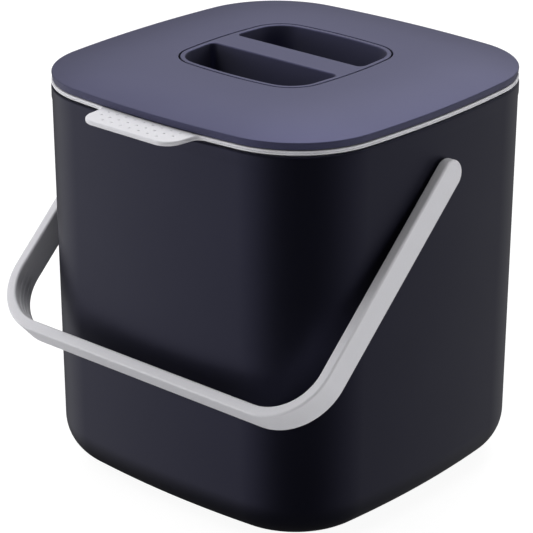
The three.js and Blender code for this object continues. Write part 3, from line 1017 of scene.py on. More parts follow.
@dataclass
class CarryHandle(SubAssembly):
    """The strap bail with its pivot bosses, hanging against the front wall."""

    reach: float = 142.6
    width: float = 15.0
    thickness: float = 5.4
    edge_radius: float = 1.2
    bend_radius: float = 30.0
    side_gap: float = 0.25
    rest_gap: float = 0.3
    boss_radius: float = 4.2
    head_radius: float = 5.6
    head_depth: float = 1.3
    groove_depth: float = 0.5
    groove_width: float = 1.6
    groove_pitch: float = 3.0
    groove_fade: float = 0.4
    groove_lines: int = 8
    tip_taper: float = 0.3
    tip_chamfer: float = 0.2
    run_steps: tuple[int, ...] = (14, 24, 16, 24, 14)
    end_steps: int = 24
    edge_steps: int = 6
    body: Body = Body.BAIL

    @property
    def outer_x(self) -> float:
        """Outer face of the right arm."""
        return LID_SQUARE.width / 2 - LEVELS.body_rim_inset + self.side_gap + self.thickness

    @property
    def arm(self) -> float:
        """Straight length of an arm, from its pivot to the bend."""
        return self.reach - self.bend_radius

    @property
    def length(self) -> float:
        """Length of the strap's outer face from pivot to pivot."""
        return 2 * (self.arm + QUARTER * self.bend_radius + self.outer_x - self.bend_radius)

    def track(self, along: float) -> tuple[np.ndarray, np.ndarray]:
        """Place of the strap's outer face.

        Args:
            along: Distance from the left pivot along the outer face.

        Returns:
            The point in the bail's own plane, and the direction into the strap.
        """
        middle = self.length / 2
        side = -1.0 if along < middle else 1.0
        distance = min(along, self.length - along)
        turn = (distance - self.arm) / self.bend_radius
        if turn <= 0:
            point, out = (self.outer_x, -distance), (1.0, 0.0)
        elif turn >= QUARTER:
            bend = QUARTER * self.bend_radius
            point = (self.outer_x - self.bend_radius - (distance - self.arm - bend), -self.reach)
            out = (0.0, -1.0)
        else:
            out = (math.cos(turn), -math.sin(turn))
            centre_x = self.outer_x - self.bend_radius
            point = (centre_x + out[0] * self.bend_radius, -self.arm + out[1] * self.bend_radius)
        return np.array([side * point[0], point[1]]), np.array([-side * out[0], -out[1]])

    def strip_outline(self) -> Outline:
        """The flattened strap's outline: two straight edges and two round ends.

        Returns:
            The outline, with X along the strap and Y across it.
        """
        half = self.width / 2
        bend = QUARTER * self.bend_radius
        cross = self.length - 2 * (self.arm + bend)
        arm_end, far_bend = self.arm + bend, self.arm + bend + cross
        stops = [0.0, self.arm, arm_end, far_bend, self.arm + 2 * bend + cross, self.length]
        runs = [np.linspace(a, b, n + 1)[:-1] for a, b, n in zip(stops, stops[1:], self.run_steps)]
        stations = np.concatenate(runs)

        def straight(places: np.ndarray, side: float) -> Outline:
            """A straight edge on one side of the middle line."""
            points = np.column_stack([places, np.full(len(places), side * half)])
            return Outline(points, np.tile([0.0, side], (len(places), 1)))

        return join_arcs(
            straight(stations, -1.0),
            plan_arc((self.length, 0), half, -QUARTER, QUARTER, self.end_steps),
            straight(np.concatenate([[self.length], stations[:0:-1]]), 1.0),
            plan_arc((0, 0), half, QUARTER, 3 * QUARTER, self.end_steps),
        )

    def groove_share(self, along: float, across: float) -> float:
        """Depth of the grip grooves at a point of the inner face, from 0 to 1.

        Args:
            along: Distance from the left pivot.
            across: Distance from the strap's middle line.

        Returns:
            The share of the full groove depth.
        """
        distance = min(along, self.length - along)
        fade = min(max((distance - self.arm) / (self.bend_radius * self.groove_fade), 0.0), 1.0)
        nearest = min(abs(abs(across) - self.groove_pitch), abs(across))
        hollow = max(math.cos(min(nearest / self.groove_width, 0.5) * math.pi), 0.0)
        return fade * hollow

    def strap(self) -> MeshParts:
        """The strap lying forwards along -Y, with its pivots on the X axis.

        Returns:
            Its points and faces.
        """
        outline = self.strip_outline()
        half, edge, thick = self.width / 2, self.edge_radius, self.thickness
        step = self.groove_width / self.groove_lines
        reach = self.groove_lines // 2
        lines = {half}
        for row in (0.0, self.groove_pitch):
            lines |= {half - abs(row + i * step) for i in range(-reach, reach + 1)}
        inner = sorted(lines, reverse=True)
        angles = np.linspace(0, QUARTER, self.edge_steps + 1)
        profile = [(inset, thick) for inset in inner if inset > edge]
        profile += [(edge - edge * math.sin(a), thick - edge + edge * math.cos(a)) for a in angles]
        profile += [(edge - edge * math.cos(a), edge - edge * math.sin(a)) for a in angles]
        profile += [(half / 2, 0), (half, 0)]
        rings = []
        for inset, depth in profile:
            ring = []
            for along, across, _ in outline.ring(inset, 0):
                sunk = depth
                if depth == thick:
                    sunk -= self.groove_depth * self.groove_share(along, across)
                point, inward = self.track(along)
                x, y = point + inward * sunk
                ring.append((x, y, across))
            rings.append(np.array(ring))
        return loft(rings)

    def boss(self) -> MeshParts:
        """The right arm's pivot boss: a shaft through the wall with a snap head.

        Returns:
            Its points and faces.
        """
        outer_bucket = OuterBucket()
        wall_outer = LID_SQUARE.width / 2 - LEVELS.body_rim_inset - LEVELS.neck_step
        draft = outer_bucket.draft * LEVELS.pivot_drop / LEVELS.body_height
        head = wall_outer - LEVELS.body_wall - draft - LEVELS.seat_gap
        root = self.outer_x - self.thickness / 2
        tip = head - self.head_depth
        profile = [
            (0, tip),
            (self.boss_radius - self.tip_taper, tip),
            (self.boss_radius, tip + self.tip_chamfer),
            (self.head_radius, head - self.tip_chamfer),
            (self.head_radius, head),
            (self.boss_radius, head),
            (self.boss_radius, root),
            (0, root),
        ]
        return lathe(profile, BORE_SIDES).turned(Matrix.Rotation(QUARTER, 3, "Y"))

    def rest_angle(self) -> float:
        """Angle below the horizontal at which the crossbar meets the front wall.

        Returns:
            The angle in radians.
        """
        inner = self.reach - self.thickness
        reach = math.hypot(inner, self.width / 2)
        lead = math.atan2(self.width / 2, inner)
        slope = OuterBucket().draft / LEVELS.body_height
        wall = LID_SQUARE.depth / 2 - LEVELS.body_rim_inset - LEVELS.neck_step - slope * LEVELS.pivot_drop
        swing = math.acos((wall + self.rest_gap) / (reach * math.hypot(1, slope)))
        return swing + math.atan(slope) - lead

    def build(self, shelf: FinishShelf) -> list[bpy.types.Object]:
        """Makes the bail.

        Args:
            shelf: Source of the materials.

        Returns:
            The pieces made.
        """
        turn = Matrix.Rotation(self.rest_angle(), 3, "X")
        bail = make_object("carry_handle_skin", self.strap().turned(turn).moved(0, 0, LEVELS.pivot))
        other = self.boss().turned(Matrix.Rotation(2 * QUARTER, 3, "Z"))
        bosses = merge([self.boss(), other]).moved(0, 0, LEVELS.pivot)
        shape_with(bail, bosses, Operation.JOIN)
        return [self.place(shelf, bail, LIGHT_GREY, "carry_handle")]


@dataclass
class InnerBucket(SubAssembly):
    """The lift-out bucket with its flange and dotted thumb tab."""

    draft: float = 3.0
    base_radius: float = 22.0
    overhang: float = 1.4
    edge_lift: float = 0.4
    edge_radius: float = 0.5
    line_width: float = 0.5
    line_depth: float = 0.25
    step_height: float = 4.0
    step_slope: float = 1.5
    slide_gap: float = 0.5
    tab_root: float = 60.0
    tab_tip: float = 55.6
    tab_reach: float = 17.0
    tab_corner: float = 9.0
    tab_fillet: float = 3.0
    tab_edge: float = 0.9
    dimple_radius: float = 0.75
    dimple_depth: float = 0.4
    dimple_pitch_x: float = 5.66
    dimple_pitch_y: float = 4.85
    dimple_margin: float = 4.0
    dimple_counts: tuple[int, ...] = (9, 9, 7)
    dimple_steps: int = 5
    dimple_sides: int = 20
    base_steps: int = 16
    edge_steps: int = 5
    line_steps: int = 6
    tab_corner_steps: int = 16
    tab_fillet_steps: int = 12
    tab_edge_steps: int = 6
    body: Body = Body.INNER

    def profile(self) -> Profile:
        """The wall from the underside over the flange and down to the inner floor.

        Returns:
            Pairs of inset and height.
        """
        flange = -self.overhang
        edge, steps = self.edge_radius, self.edge_steps
        step = LEVELS.body_rim_inset + LEVELS.body_wall + self.slide_gap
        low, top = LEVELS.flange_low, LEVELS.flange_top
        edge_low = low + self.edge_lift
        line = (edge_low + top) / 2
        bend = LEVELS.bucket_outer_inset + self.draft + self.base_radius
        bend_z = LEVELS.bucket_low + self.base_radius
        step_low = low - self.step_height
        groove = [
            (flange + self.line_depth * math.sin(a), line - self.line_width / 2 * math.cos(a))
            for a in np.linspace(0, 2 * QUARTER, self.line_steps + 1)
        ]
        return [
            *round_arc(bend, bend_z, self.base_radius, -1, -2, self.base_steps),
            (LEVELS.bucket_outer_inset, step_low - self.step_slope),
            (step, step_low),
            (step, low),
            (edge, low),
            *low_edge(flange, edge_low, edge, steps),
            *groove,
            *high_edge(flange, top, edge, steps),
            *mouth_edge(LEVELS.bucket_inner_inset, top, edge, steps),
            *round_arc(bend, bend_z, self.base_radius - LEVELS.bucket_wall, -2, -1, self.base_steps),
        ]

    def front_y(self, x: float) -> float:
        """Where the flange's bowed front edge lies at a place across the bucket."""
        radius = LID_SQUARE.front_radius
        return radius - LID_SQUARE.depth / 2 - math.sqrt((radius + self.overhang) ** 2 - x**2)

    def tab_outline(self) -> Outline:
        """Outline of the thumb tab, from inside the flange out to its round tip.

        Returns:
            The closed outline with its normals.
        """
        tip_y = -LID_SQUARE.depth / 2 - self.overhang - self.tab_reach
        root, tip, fillet = self.tab_root / 2, self.tab_tip / 2, self.tab_fillet
        lean = math.atan2(root - tip, self.tab_reach)
        centre = (tip - self.tab_corner * math.tan((QUARTER - lean) / 2), tip_y + self.tab_corner)
        corner = plan_arc(centre, self.tab_corner, -QUARTER, -lean, self.tab_corner_steps, ends=True)
        root_y = self.front_y(root)
        outer = (root + fillet, self.front_y(root + fillet))
        neck = np.array([root - fillet * math.sin(lean), root_y - fillet * math.cos(lean)])
        share = np.linspace(0, 1, self.tab_fillet_steps + 1)[:, None]
        knee = np.array([root, root_y])
        curve = neck * (1 - share) ** 2 + knee * 2 * share * (1 - share) + np.array(outer) * share**2
        right = np.vstack([corner.points, curve, [(outer[0], outer[1] + fillet)]])
        left = right[::-1] * np.array([-1.0, 1.0])
        points = np.vstack([right, left])
        before, after = np.roll(points, 1, axis=0), np.roll(points, -1, axis=0)
        along_path = unit_rows(after - points) + unit_rows(points - before)
        normals = np.column_stack([along_path[:, 1], -along_path[:, 0]])
        return Outline(points, unit_rows(normals))

    def tab(self) -> MeshParts:
        """The thumb tab with rounded edges.

        Returns:
            Its points and faces.
        """
        edge, steps = self.tab_edge, self.tab_edge_steps
        low = low_edge(0, LEVELS.flange_low, edge, steps)
        high = high_edge(0, LEVELS.flange_top, edge, steps)
        return loft(self.tab_outline().rings(low + high))

    def dimples(self) -> MeshParts:
        """Cutters for the rows of small pits in the tab's top.

        Returns:
            Their points and faces.
        """
        radius = (self.dimple_radius**2 + self.dimple_depth**2) / (2 * self.dimple_depth)
        centre = LEVELS.flange_top + radius - self.dimple_depth
        angles = np.linspace(0, math.acos(1 - self.dimple_depth / radius), self.dimple_steps + 1)
        profile = [(radius * math.sin(a), centre - radius * math.cos(a)) for a in angles]
        profile += [(r, LEVELS.flange_top + SHORT_OVERRUN) for r in (self.dimple_radius, 0)]
        pit = lathe(profile, self.dimple_sides)
        pits = []
        for row, count in enumerate(self.dimple_counts):
            y = -LID_SQUARE.depth / 2 - self.dimple_margin - row * self.dimple_pitch_y
            pits += [pit.moved((i - (count - 1) / 2) * self.dimple_pitch_x, y, 0) for i in range(count)]
        return merge(pits)

    def build(self, shelf: FinishShelf) -> list[bpy.types.Object]:
        """Makes the inner bucket.

        Args:
            shelf: Source of the materials.

        Returns:
            The pieces made.
        """
        bucket = make_object("inner_bucket_skin", loft(LID_OUTLINE.rings(self.profile())))
        shape_with(bucket, self.tab(), Operation.JOIN)
        shape_with(bucket, self.dimples(), Operation.CUT)
        return [self.place(shelf, bucket, LIGHT_GREY, "inner_bucket")]


@dataclass
class Lid(SubAssembly):
    """The lid: a shallow domed shell, the liner with its plug and filter well, and the seal."""

    overhang: float = 1.3
    skirt_wall: float = 1.8
    skirt_recess: float = 0.7
    skirt_edge: float = 0.3
    skirt_lean: float = 0.4
    brim_radius: float = 0.6
    brim_turn: float = 0.8
    wall: float = 1.6
    dome_curve: float = 2.6
    dome_steps: int = 28
    collar_wall: float = 1.6
    collar_depth: float = 5.5
    opening_edge: float = 0.3
    liner_margin: float = 6.0
    liner_thickness: float = 1.6
    plug_wall: float = 1.8
    plug_depth: float = 12.0
    groove_drop: float = 3.5
    groove_height: float = 4.0
    groove_depth: float = 0.8
    well_wall: float = 1.8
    well_top_gap: float = 0.5
    ledge_width: float = 6.0
    ledge_thickness: float = 1.8
    rib_thickness: float = 1.6
    rib_height: float = 8.0
    rib_lines: int = 4
    seal_band: float = 0.8
    seal_lip: float = 0.8
    plug_chamfer: float = 0.4
    dome_crowding: float = 1.25
    brim_steps: int = 8
    opening_steps: int = 5
    skirt_steps: int = 4
    lip_steps: int = 8
    body: Body = Body.LID

    @property
    def groove_top(self) -> float:
        """Upper edge of the seal's groove."""
        return LEVELS.lid_low - self.groove_drop

    @property
    def groove_low(self) -> float:
        """Lower edge of the seal's groove."""
        return self.groove_top - self.groove_height

    @property
    def well_inner(self) -> float:
        """Inset of the filter well's inner face from the opening."""
        return -self.collar_wall - LEVELS.seat_gap

    def shell(self) -> MeshParts:
        """The domed shell with its skirt and the collar round the opening.

        Returns:
            Its points and faces.
        """
        brim = self.brim_radius
        crown = LEVELS.crown
        shoulder = round_arc(brim, LEVELS.shoulder - brim, brim, 2, 2 - self.brim_turn, self.brim_steps)
        dome_inset, dome_start = shoulder[-1]
        brim_outline = LID_OUTLINE.inset(-self.overhang)
        edge_outline = brim_outline.inset(dome_inset)
        middle_outline = OPENING_OUTLINE.inset(-self.opening_edge)
        shares = np.linspace(0, 1, self.dome_steps + 1)[1:] ** self.dome_crowding

        def dome(share: float, drop: float) -> np.ndarray:
            """A ring of the dome, a share of the way in."""
            rise = (1 - (1 - share) ** self.dome_curve) * (crown - dome_start)
            return edge_outline.blend(middle_outline, share).ring(0, dome_start + rise - drop)

        skirt = low_edge(self.skirt_lean, LEVELS.lid_low, self.skirt_edge, self.skirt_steps)
        lip = mouth_edge(0, crown, self.opening_edge, self.opening_steps)
        return loft(
            [
                *brim_outline.rings([*skirt, *shoulder]),
                *[dome(share, 0) for share in shares],
                *OPENING_OUTLINE.rings(lip[1:]),
                OPENING_OUTLINE.ring(0, crown - self.collar_depth),
                OPENING_OUTLINE.ring(-self.collar_wall, crown - self.collar_depth),
                OPENING_OUTLINE.ring(-self.collar_wall, crown - self.wall),
                *[dome(share, self.wall) for share in shares[-2::-1]],
                LID_OUTLINE.ring(self.skirt_wall, LEVELS.lid_low + self.skirt_recess),
                LID_OUTLINE.ring(self.skirt_wall, LEVELS.lid_low),
            ],
            closed=True,
        )

    def liner(self) -> MeshParts:
        """The plate under the dome with the filter well and the plug wall.

        Returns:
            Its points and faces.
        """
        low = LEVELS.lid_low
        plate_top = low + self.liner_thickness
        well_top = LEVELS.crown - self.wall - self.well_top_gap
        plug_low = low - self.plug_depth
        well_outer = self.well_inner - self.well_wall
        ledge = self.well_inner + self.ledge_width
        plug, inner_plug = LEVELS.plug_outer_inset, LEVELS.plug_outer_inset + self.plug_wall
        seat = plug + self.groove_depth
        chamfer = self.plug_chamfer
        return loft(
            [
                *LID_OUTLINE.rings([(self.liner_margin, low), (self.liner_margin, plate_top)]),
                *OPENING_OUTLINE.rings(
                    [
                        (well_outer, plate_top),
                        (well_outer, well_top),
                        (self.well_inner, well_top),
                        (self.well_inner, LEVELS.ledge_top),
                        (ledge, LEVELS.ledge_top),
                        (ledge, LEVELS.ledge_top - self.ledge_thickness),
                        (well_outer + self.ledge_thickness, LEVELS.ledge_top - self.ledge_thickness),
                        (well_outer, LEVELS.ledge_top),
                        (well_outer, low),
                    ]
                ),
                *LID_OUTLINE.rings(
                    [
                        (inner_plug, low),
                        (inner_plug, plug_low + chamfer),
                        (inner_plug - chamfer, plug_low),
                        (plug + chamfer, plug_low),
                        (plug, plug_low + chamfer),
                        (plug, self.groove_low),
                        (seat, self.groove_low),
                        (seat, self.groove_top),
                        (plug, self.groove_top),
                        (plug, low),
                    ]
                ),
            ],
            closed=True,
        )

    def ribs(self) -> MeshParts:
        """Flat bars through the middle, still to be cropped to the liner's trough.

        Returns:
            Their points and faces.
        """
        bars = []
        length = LID_SQUARE.width * math.sqrt(2) / 2
        low, high = LEVELS.lid_low - self.rib_height, LEVELS.lid_low + self.liner_thickness / 2
        side = self.rib_thickness / 2
        for line in range(self.rib_lines):
            corners = np.array([(-length, -side), (length, -side), (length, side), (-length, side)])
            bar = Outline(corners, np.zeros_like(corners)).rings([(0, low), (0, high)])
            bars.append(loft(bar).turned(Matrix.Rotation(line * 2 * QUARTER / self.rib_lines, 3, "Z")))
        return merge(bars)

    def rib_field(self) -> MeshParts:
        """The ring between the filter well and the plug wall that the ribs fill.

        Returns:
            Its points and faces.
        """
        low = LEVELS.lid_low - self.rib_height - SHORT_OVERRUN
        high = LEVELS.lid_low + self.liner_thickness
        outer = LEVELS.plug_outer_inset + self.plug_wall / 2
        inner = self.well_inner - self.well_wall / 2
        return loft(
            [
                LID_OUTLINE.ring(outer, low),
                LID_OUTLINE.ring(outer, high),
                OPENING_OUTLINE.ring(inner, high),
                OPENING_OUTLINE.ring(inner, low),
            ],
            closed=True,
        )

    def seal(self) -> MeshParts:
        """The soft band in the plug's groove, with two lips.

        Returns:
            Its points and faces.
        """
        bottom = self.groove_low + LEVELS.seat_gap
        top = self.groove_top - LEVELS.seat_gap
        slope = InnerBucket().draft / (LEVELS.flange_top - LEVELS.bucket_low)
        lip = LEVELS.bucket_inner_inset + LEVELS.seat_gap + slope * (LEVELS.flange_top - self.groove_low)
        inner = LEVELS.plug_outer_inset + self.groove_depth - LEVELS.seat_gap
        outer = inner - self.seal_band

        def lip_points(low: float) -> Profile:
            """A rounded lip from its lower edge to its upper one.

            Args:
                low: Height of the lip's lower edge.

            Returns:
                Pairs of inset and height.
            """
            half = self.seal_lip / 2
            return [
                (outer + (lip - outer) * math.sin(a), low + half - half * math.cos(a))
                for a in np.linspace(0, 2 * QUARTER, self.lip_steps + 1)
            ]

        profile = [*lip_points(bottom), *lip_points(top - self.seal_lip), (inner, top), (inner, bottom)]
        return loft(LID_OUTLINE.rings(profile), closed=True)

    def build(self, shelf: FinishShelf) -> list[bpy.types.Object]:
        """Makes the shell, the liner and the seal.

        Args:
            shelf: Source of the materials.

        Returns:
            The pieces made.
        """
        shell = make_object("lid_shell_skin", self.shell())
        liner = make_object("lid_liner_skin", self.liner())
        rib_set = make_object("lid_ribs_tool", self.ribs())
        combine(rib_set, make_object("rib_field_tool", self.rib_field()), Operation.KEEP, crossed=True)
        combine(liner, rib_set, Operation.JOIN)
        seal = make_object("lid_seal_skin", self.seal())
        return [
            # The lid's pieces take the lighter navy copy, whose colour is painted light.
            self.place(shelf, shell, NAVY_PAINTED_LIGHT, "lid_shell"),
            self.place(shelf, liner, NAVY_PAINTED_LIGHT, "lid_liner"),
            self.place(shelf, seal, GREY_SILICONE, "lid_seal"),
        ]


@dataclass
class GripCartridge(SubAssembly):
    """The grip insert with its finger pockets, and the filter tray and pad under it."""

    seam_gap: float = 0.8
    wall: float = 1.6
    top: float = 2.0
    edge_radius: float = 0.4
    skirt_drop: float = 4.0
    bar_width: float = 17.2
    pocket_margin: float = 2.6
    pocket_draft: float = 1.2
    bar_radius: float = 3.2
    floor_radius: float = 3.0
    lip_radius: float = 0.8
    tray_wall: float = 1.4
    tray_corner: float = 1.0
    tray_lip_drop: float = 1.0
    filter_edge: float = 1.2
    slot_width: float = 3.0
    slot_pitch: float = 7.2
    slot_length: float = 27.0
    slot_bridge: float = 6.0
    slot_rows: int = 9
    chamfer: float = 0.3
    corner_steps: int = 20
    arc_steps: int = 12
    edge_steps: int = 6
    body: Body = Body.INSERT

    def pocket_outline(self) -> Outline:
        """Outline of the front pocket: the insert's edge, cut off along the bar.

        Returns:
            The closed outline with its normals.
        """
        square = OPENING_SQUARE
        shrink = self.seam_gap + self.pocket_margin
        cx, cy = square.corner
        corner = square.radius - shrink
        bar_y = -self.bar_width / 2
        r = self.bar_radius
        centre = square.width / 2 - square.side_radius
        side_x = centre + math.sqrt((square.side_radius - shrink) ** 2 - (bar_y - r) ** 2)
        side, front, half_turn = square.side_angle, square.front_angle, 2 * QUARTER
        front_centre = (0, square.front_radius - square.depth / 2)
        front_radius = square.front_radius - shrink
        steps = self.arc_steps
        return join_arcs(
            plan_arc((-cx, -cy), corner, half_turn + side, half_turn + front, self.corner_steps),
            plan_arc(front_centre, front_radius, half_turn + front, 2 * half_turn - front, steps),
            plan_arc((cx, -cy), corner, -front, -side, self.corner_steps, ends=True),
            plan_arc((side_x - r, bar_y - r), r, 0, QUARTER, steps, ends=True),
            plan_arc((r - side_x, bar_y - r), r, QUARTER, half_turn, steps, ends=True),
        )

    def pocket(self, wall: float) -> MeshParts:
        """The front pocket's space, or with a wall thickness the cup round it.

        Args:
            wall: Thickness of the cup's wall, or zero for the space.

        Returns:
            The closed form.
        """
        radius = self.floor_radius
        floor = LEVELS.crown - LEVELS.pocket_depth - wall
        bend = self.pocket_draft + radius - wall
        bottom = round_arc(bend, floor + radius, radius, -1, -2, self.arc_steps)
        if wall > 0:
            mouth = [(-wall, LEVELS.crown - self.top / 2)]
        else:
            lip = self.lip_radius
            angles = np.linspace(0, QUARTER, self.edge_steps + 1)
            mouth = [(-lip + lip * math.cos(a), LEVELS.crown - lip + lip * math.sin(a)) for a in angles]
            mouth.append((-lip, LEVELS.crown + OVERRUN))
        return loft(self.pocket_outline().rings([*bottom, *mouth]))

    def grip_insert(self) -> bpy.types.Object:
        """The cap with its two cups and pockets.

        Returns:
            The insert, not dressed yet.
        """
        low = LEVELS.cup_low - self.skirt_drop
        outline = OPENING_OUTLINE.inset(self.seam_gap)
        rounded = high_edge(0, LEVELS.crown, self.edge_radius, self.edge_steps)
        plug = loft(outline.rings([(self.chamfer, low), (0, low + self.chamfer), *rounded]))
        hollow = loft(outline.rings([(self.wall, low - OVERRUN), (self.wall, LEVELS.crown - self.top)]))
        half_turn = Matrix.Rotation(2 * QUARTER, 3, "Z")
        insert = make_object("grip_insert_skin", plug)
        shape_with(insert, hollow, Operation.CUT)
        for solid, operation in ((self.pocket(self.wall), Operation.JOIN), (self.pocket(0), Operation.CUT)):
            shape_with(insert, merge([solid, solid.turned(half_turn)]), operation)
        return insert

    def slots(self) -> MeshParts:
        """Cutters for the vent slots of the tray's floor.

        Returns:
            Their points and faces.
        """
        r = self.slot_width / 2
        reach = self.slot_length / 2 - r
        outline = join_arcs(
            plan_arc((reach, 0), r, -QUARTER, QUARTER, self.arc_steps, ends=True),
            plan_arc((-reach, 0), r, QUARTER, 3 * QUARTER, self.arc_steps, ends=True),
        )
        slot = loft(outline.rings([(0, LEVELS.tray_low - OVERRUN), (0, LEVELS.tray_floor + OVERRUN)]))
        slots = []
        for row in range(self.slot_rows):
            y = (row - (self.slot_rows - 1) / 2) * self.slot_pitch
            slots += [slot.moved(side * (self.slot_length + self.slot_bridge) / 2, y, 0) for side in (-1, 1)]
        return merge(slots)

    def build(self, shelf: FinishShelf) -> list[bpy.types.Object]:
        """Makes the insert, the tray and the filter pad.

        Args:
            shelf: Source of the materials.

        Returns:
            The pieces made.
        """
        outer = self.seam_gap + self.wall + LEVELS.seat_gap
        inner = outer + self.tray_wall
        lip = LEVELS.filter_top - self.tray_lip_drop
        steps, chamfer = self.edge_steps, self.chamfer
        dish = [
            *low_edge(outer, LEVELS.tray_low, self.tray_corner, steps),
            (outer, lip - chamfer),
            (outer + chamfer, lip),
            (inner - chamfer, lip),
            (inner, lip - chamfer),
            (inner, LEVELS.tray_floor),
        ]
        tray = make_object("filter_tray_skin", loft(OPENING_OUTLINE.rings(dish)))
        shape_with(tray, self.slots(), Operation.CUT)
        pad_inset = inner + LEVELS.seat_gap
        cushion = [
            *low_edge(pad_inset, LEVELS.filter_low, self.filter_edge, steps),
            *high_edge(pad_inset, LEVELS.filter_top, self.filter_edge, steps),
        ]
        pad = make_object("charcoal_filter_skin", loft(OPENING_OUTLINE.rings(cushion)))
        return [
            # The insert and the tray take the lighter navy copy, whose colour is painted light.
            self.place(shelf, self.grip_insert(), NAVY_PAINTED_LIGHT, "grip_insert"),
            self.place(shelf, tray, NAVY_PAINTED_LIGHT, "filter_tray"),
            self.place(shelf, pad, CHARCOAL_FELT, "charcoal_filter"),
        ]


# Camera, light and floor


def swung(first: Vector, second: Vector, angle: float) -> tuple[Vector, Vector]:
    """Turns two axes by an angle in their own plane."""
    level, rise = math.cos(angle), math.sin(angle)
    return first * level - second * rise, second * level + first * rise


@dataclass(frozen=True)
class PhotoCamera:
    """The photograph's viewpoint, fitted to the bin's edges."""

    azimuth: float = 0.7135
    elevation: float = 0.3887
    distance: float = 1.221
    target_z: float = 0.1003
    focal_pixels: float = 2446.03
    centre_x: float = 285.19
    centre_y: float = 264.92
    roll: float = 0.0035

    def build(self) -> None:
        """Makes the camera and sets it as the scene's."""
        back = Vector(
            (
                math.sin(self.azimuth) * math.cos(self.elevation),
                -math.cos(self.azimuth) * math.cos(self.elevation),
                math.sin(self.elevation),
            )
        )
        right = Vector((math.cos(self.azimuth), math.sin(self.azimuth), 0))
        up = back.cross(right)
        forward = -back
        yaw = math.atan((self.centre_x - PHOTO_PIXELS / 2) / self.focal_pixels)
        pitch = math.atan((self.centre_y - PHOTO_PIXELS / 2) / self.focal_pixels)
        forward, right = swung(forward, right, yaw)
        forward, up = swung(forward, up, -pitch)
        right, up = swung(right, up, -self.roll)
        data = bpy.data.cameras.new("photo_camera")
        data.sensor_width = SENSOR_MM
        data.sensor_fit = "HORIZONTAL"
        data.lens = self.focal_pixels * SENSOR_MM / PHOTO_PIXELS
        camera = bpy.data.objects.new("photo_camera", data)
        place = Vector((0, 0, self.target_z)) + back * self.distance
        axes = Matrix((right, up, -forward)).transposed().to_4x4()
        camera.matrix_world = Matrix.Translation(place) @ axes
        bpy.context.scene.collection.objects.link(camera)
        bpy.context.scene.camera = camera


def direction(azimuth: float, elevation: float) -> Vector:
    """Direction to a point of the surroundings.

    Args:
        azimuth: Degrees round from +X.
        elevation: Degrees above the floor.

    Returns:
        A unit vector.
    """
    azimuth, elevation = math.radians(azimuth), math.radians(elevation)
    level = math.cos(elevation)
    return Vector((math.cos(azimuth) * level, math.sin(azimuth) * level, math.sin(elevation)))


@dataclass(frozen=True)
class SoftBox:
    """A broad soft light far away, which gloss shows as a bright patch."""

    azimuth: float
    elevation: float
    inner: float
    outer: float
    strength: float
    fade: tuple[float, float] | None = None

    def glow(self, sheet: NodeSheet, seen: bpy.types.NodeSocket) -> bpy.types.NodeSocket:
        """Adds the box to the nodes of the world.

        Args:
            sheet: The world's nodes.
            seen: Direction of the ray.

        Returns:
            The brightness in that direction.
        """
        dot = sheet.add("ShaderNodeVectorMath", operation="DOT_PRODUCT")
        sheet.fill(dot, {0: seen, 1: direction(self.azimuth, self.elevation)})
        outer, inner = (math.cos(math.radians(angle)) for angle in (self.outer, self.inner))
        glow = sheet.ramp(dot.outputs["Value"], outer, inner, self.strength)
        if self.fade is None:
            return glow
        height = sheet.add("ShaderNodeSeparateXYZ")
        sheet.feed(height.inputs[0], seen)
        low, high = (math.sin(math.radians(angle)) for angle in self.fade)
        return sheet.math("MULTIPLY", glow, sheet.ramp(height.outputs["Z"], low, high, 1.0))


@dataclass(frozen=True)
class FillLamp:
    """A round soft lamp that lights the bin but isn't seen in its gloss."""

    name: str
    azimuth: float
    elevation: float
    power: float
    distance: float = 1.6
    size: float = 1.0
    aim_height: float = 0.1

    def build(self) -> None:
        """Makes the lamp and aims it at the middle of the bin."""
        data = bpy.data.lights.new(self.name, "AREA")
        data.shape = "DISK"
        data.size = self.size
        data.energy = self.power
        lamp = bpy.data.objects.new(self.name, data)
        towards = direction(self.azimuth, self.elevation)
        lamp.location = Vector((0, 0, self.aim_height)) + towards * self.distance
        lamp.rotation_euler = towards.to_track_quat("Z", "Y").to_euler()
        lamp.visible_glossy = False
        lamp.visible_camera = False
        bpy.context.scene.collection.objects.link(lamp)


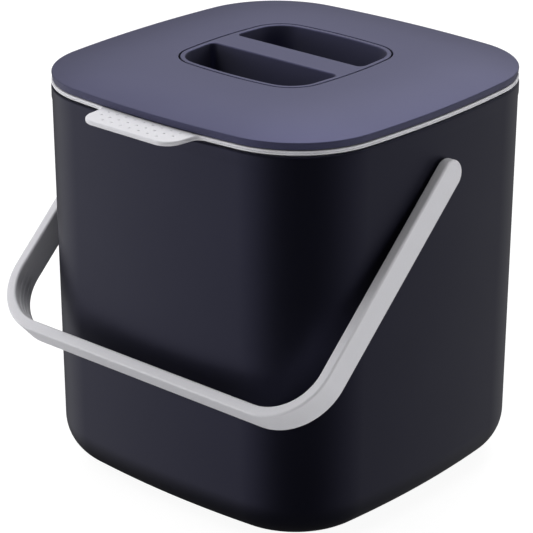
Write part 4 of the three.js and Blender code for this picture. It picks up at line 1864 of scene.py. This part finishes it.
@dataclass
class Studio:
    """The soft surroundings and the pale floor."""

    boxes: tuple[SoftBox, ...] = (
        SoftBox(-140.0, -20.0, 25.0, 65.0, 0.92, (-56.0, -14.0)),
        SoftBox(58.0, -15.0, 10.0, 75.0, 0.385, (-60.0, -26.0)),
        SoftBox(117.0, 47.0, 5.0, 34.0, 2.0),
        SoftBox(117.0, 70.0, 10.0, 40.0, 2.2),
    )
    lamps: tuple[FillLamp, ...] = (
        FillLamp("key_lamp", -140.0, 50.0, 9.0),
        FillLamp("right_lamp", 30.0, 5.0, 9.5),
        FillLamp("front_lamp", -115.0, 5.0, 4.0),
        FillLamp("left_lamp", -165.0, 5.0, 5.0),
    )
    ambient: float = 0.04
    floor_size: float = 12.0
    floor_lift: float = 0.8
    floor_glow: float = 1.16
    floor_shade: float = 0.85

    def build(self) -> None:
        """Makes the world, the lamps and the floor."""
        self._world()
        for lamp in self.lamps:
            lamp.build()
        self._floor()

    def _world(self) -> None:
        """A white background whose light comes from the soft boxes."""
        world = bpy.data.worlds.new("studio")
        bpy.context.scene.world = world
        world.use_nodes = True
        sheet = NodeSheet(world.node_tree)
        seen = sheet.add("ShaderNodeTexCoord").outputs["Generated"]
        total = None
        for box in self.boxes:
            glow = box.glow(sheet, seen)
            total = glow if total is None else sheet.math("ADD", total, glow)
        total = sheet.math("ADD", total, self.ambient)
        path = sheet.add("ShaderNodeLightPath")
        white = sheet.add("ShaderNodeMix", data_type="FLOAT")
        sheet.fill(white, {"Factor": path.outputs["Is Camera Ray"], "A": total, "B": 1.0})
        shade = sheet.add("ShaderNodeBackground")
        sheet.fill(shade, {"Color": WHITE, "Strength": white.outputs["Result"]})
        output = sheet.add("ShaderNodeOutputWorld")
        sheet.feed(output.inputs["Surface"], shade.outputs["Background"])

    def _floor(self) -> None:
        """A pale floor that keeps the bin's soft shadow."""
        reach = self.floor_size / 2 / MM
        corners = [(-reach, -reach, 0), (reach, -reach, 0), (reach, reach, 0), (-reach, reach, 0)]
        floor = make_object("floor", MeshParts(np.array(corners, float), [(0, 1, 2, 3)]))
        made = bpy.data.materials.new("pale_floor")
        made.use_nodes = True
        sheet = NodeSheet(made.node_tree)
        path = sheet.add("ShaderNodeLightPath")
        matt = sheet.add("ShaderNodeBsdfDiffuse")
        sheet.feed(matt.inputs["Color"], (*[self.floor_shade] * 3, 1.0))
        glow = sheet.fill(sheet.add("ShaderNodeEmission"), {"Strength": self.floor_glow})
        lift = sheet.math("MULTIPLY", path.outputs["Is Camera Ray"], self.floor_lift)
        mix = sheet.add("ShaderNodeMixShader")
        sheet.fill(mix, {"Fac": lift, 1: matt.outputs["BSDF"], 2: glow.outputs["Emission"]})
        output = sheet.add("ShaderNodeOutputMaterial")
        sheet.feed(output.inputs["Surface"], mix.outputs["Shader"])
        floor.data.materials.append(made)
        floor.visible_glossy = False


@dataclass
class CompostBin:
    """The whole bin."""

    parts: list[SubAssembly] = field(
        default_factory=lambda: [OuterBucket(), CarryHandle(), InnerBucket(), Lid(), GripCartridge()]
    )

    def build(self, shelf: FinishShelf) -> list[bpy.types.Object]:
        """Makes every piece in order."""
        return [piece for part in self.parts for piece in part.build(shelf)]


def main() -> None:
    """Builds the camera, the bin and the studio."""
    logging.basicConfig(level=logging.INFO, format="%(message)s")
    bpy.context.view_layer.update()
    scene = bpy.context.scene
    scene.view_settings.view_transform = "Standard"
    PhotoCamera().build()
    pieces = CompostBin().build(FinishShelf())
    Studio().build()
    LOG.info("%d pieces", len(pieces))


if __name__ == "__main__":
    main()
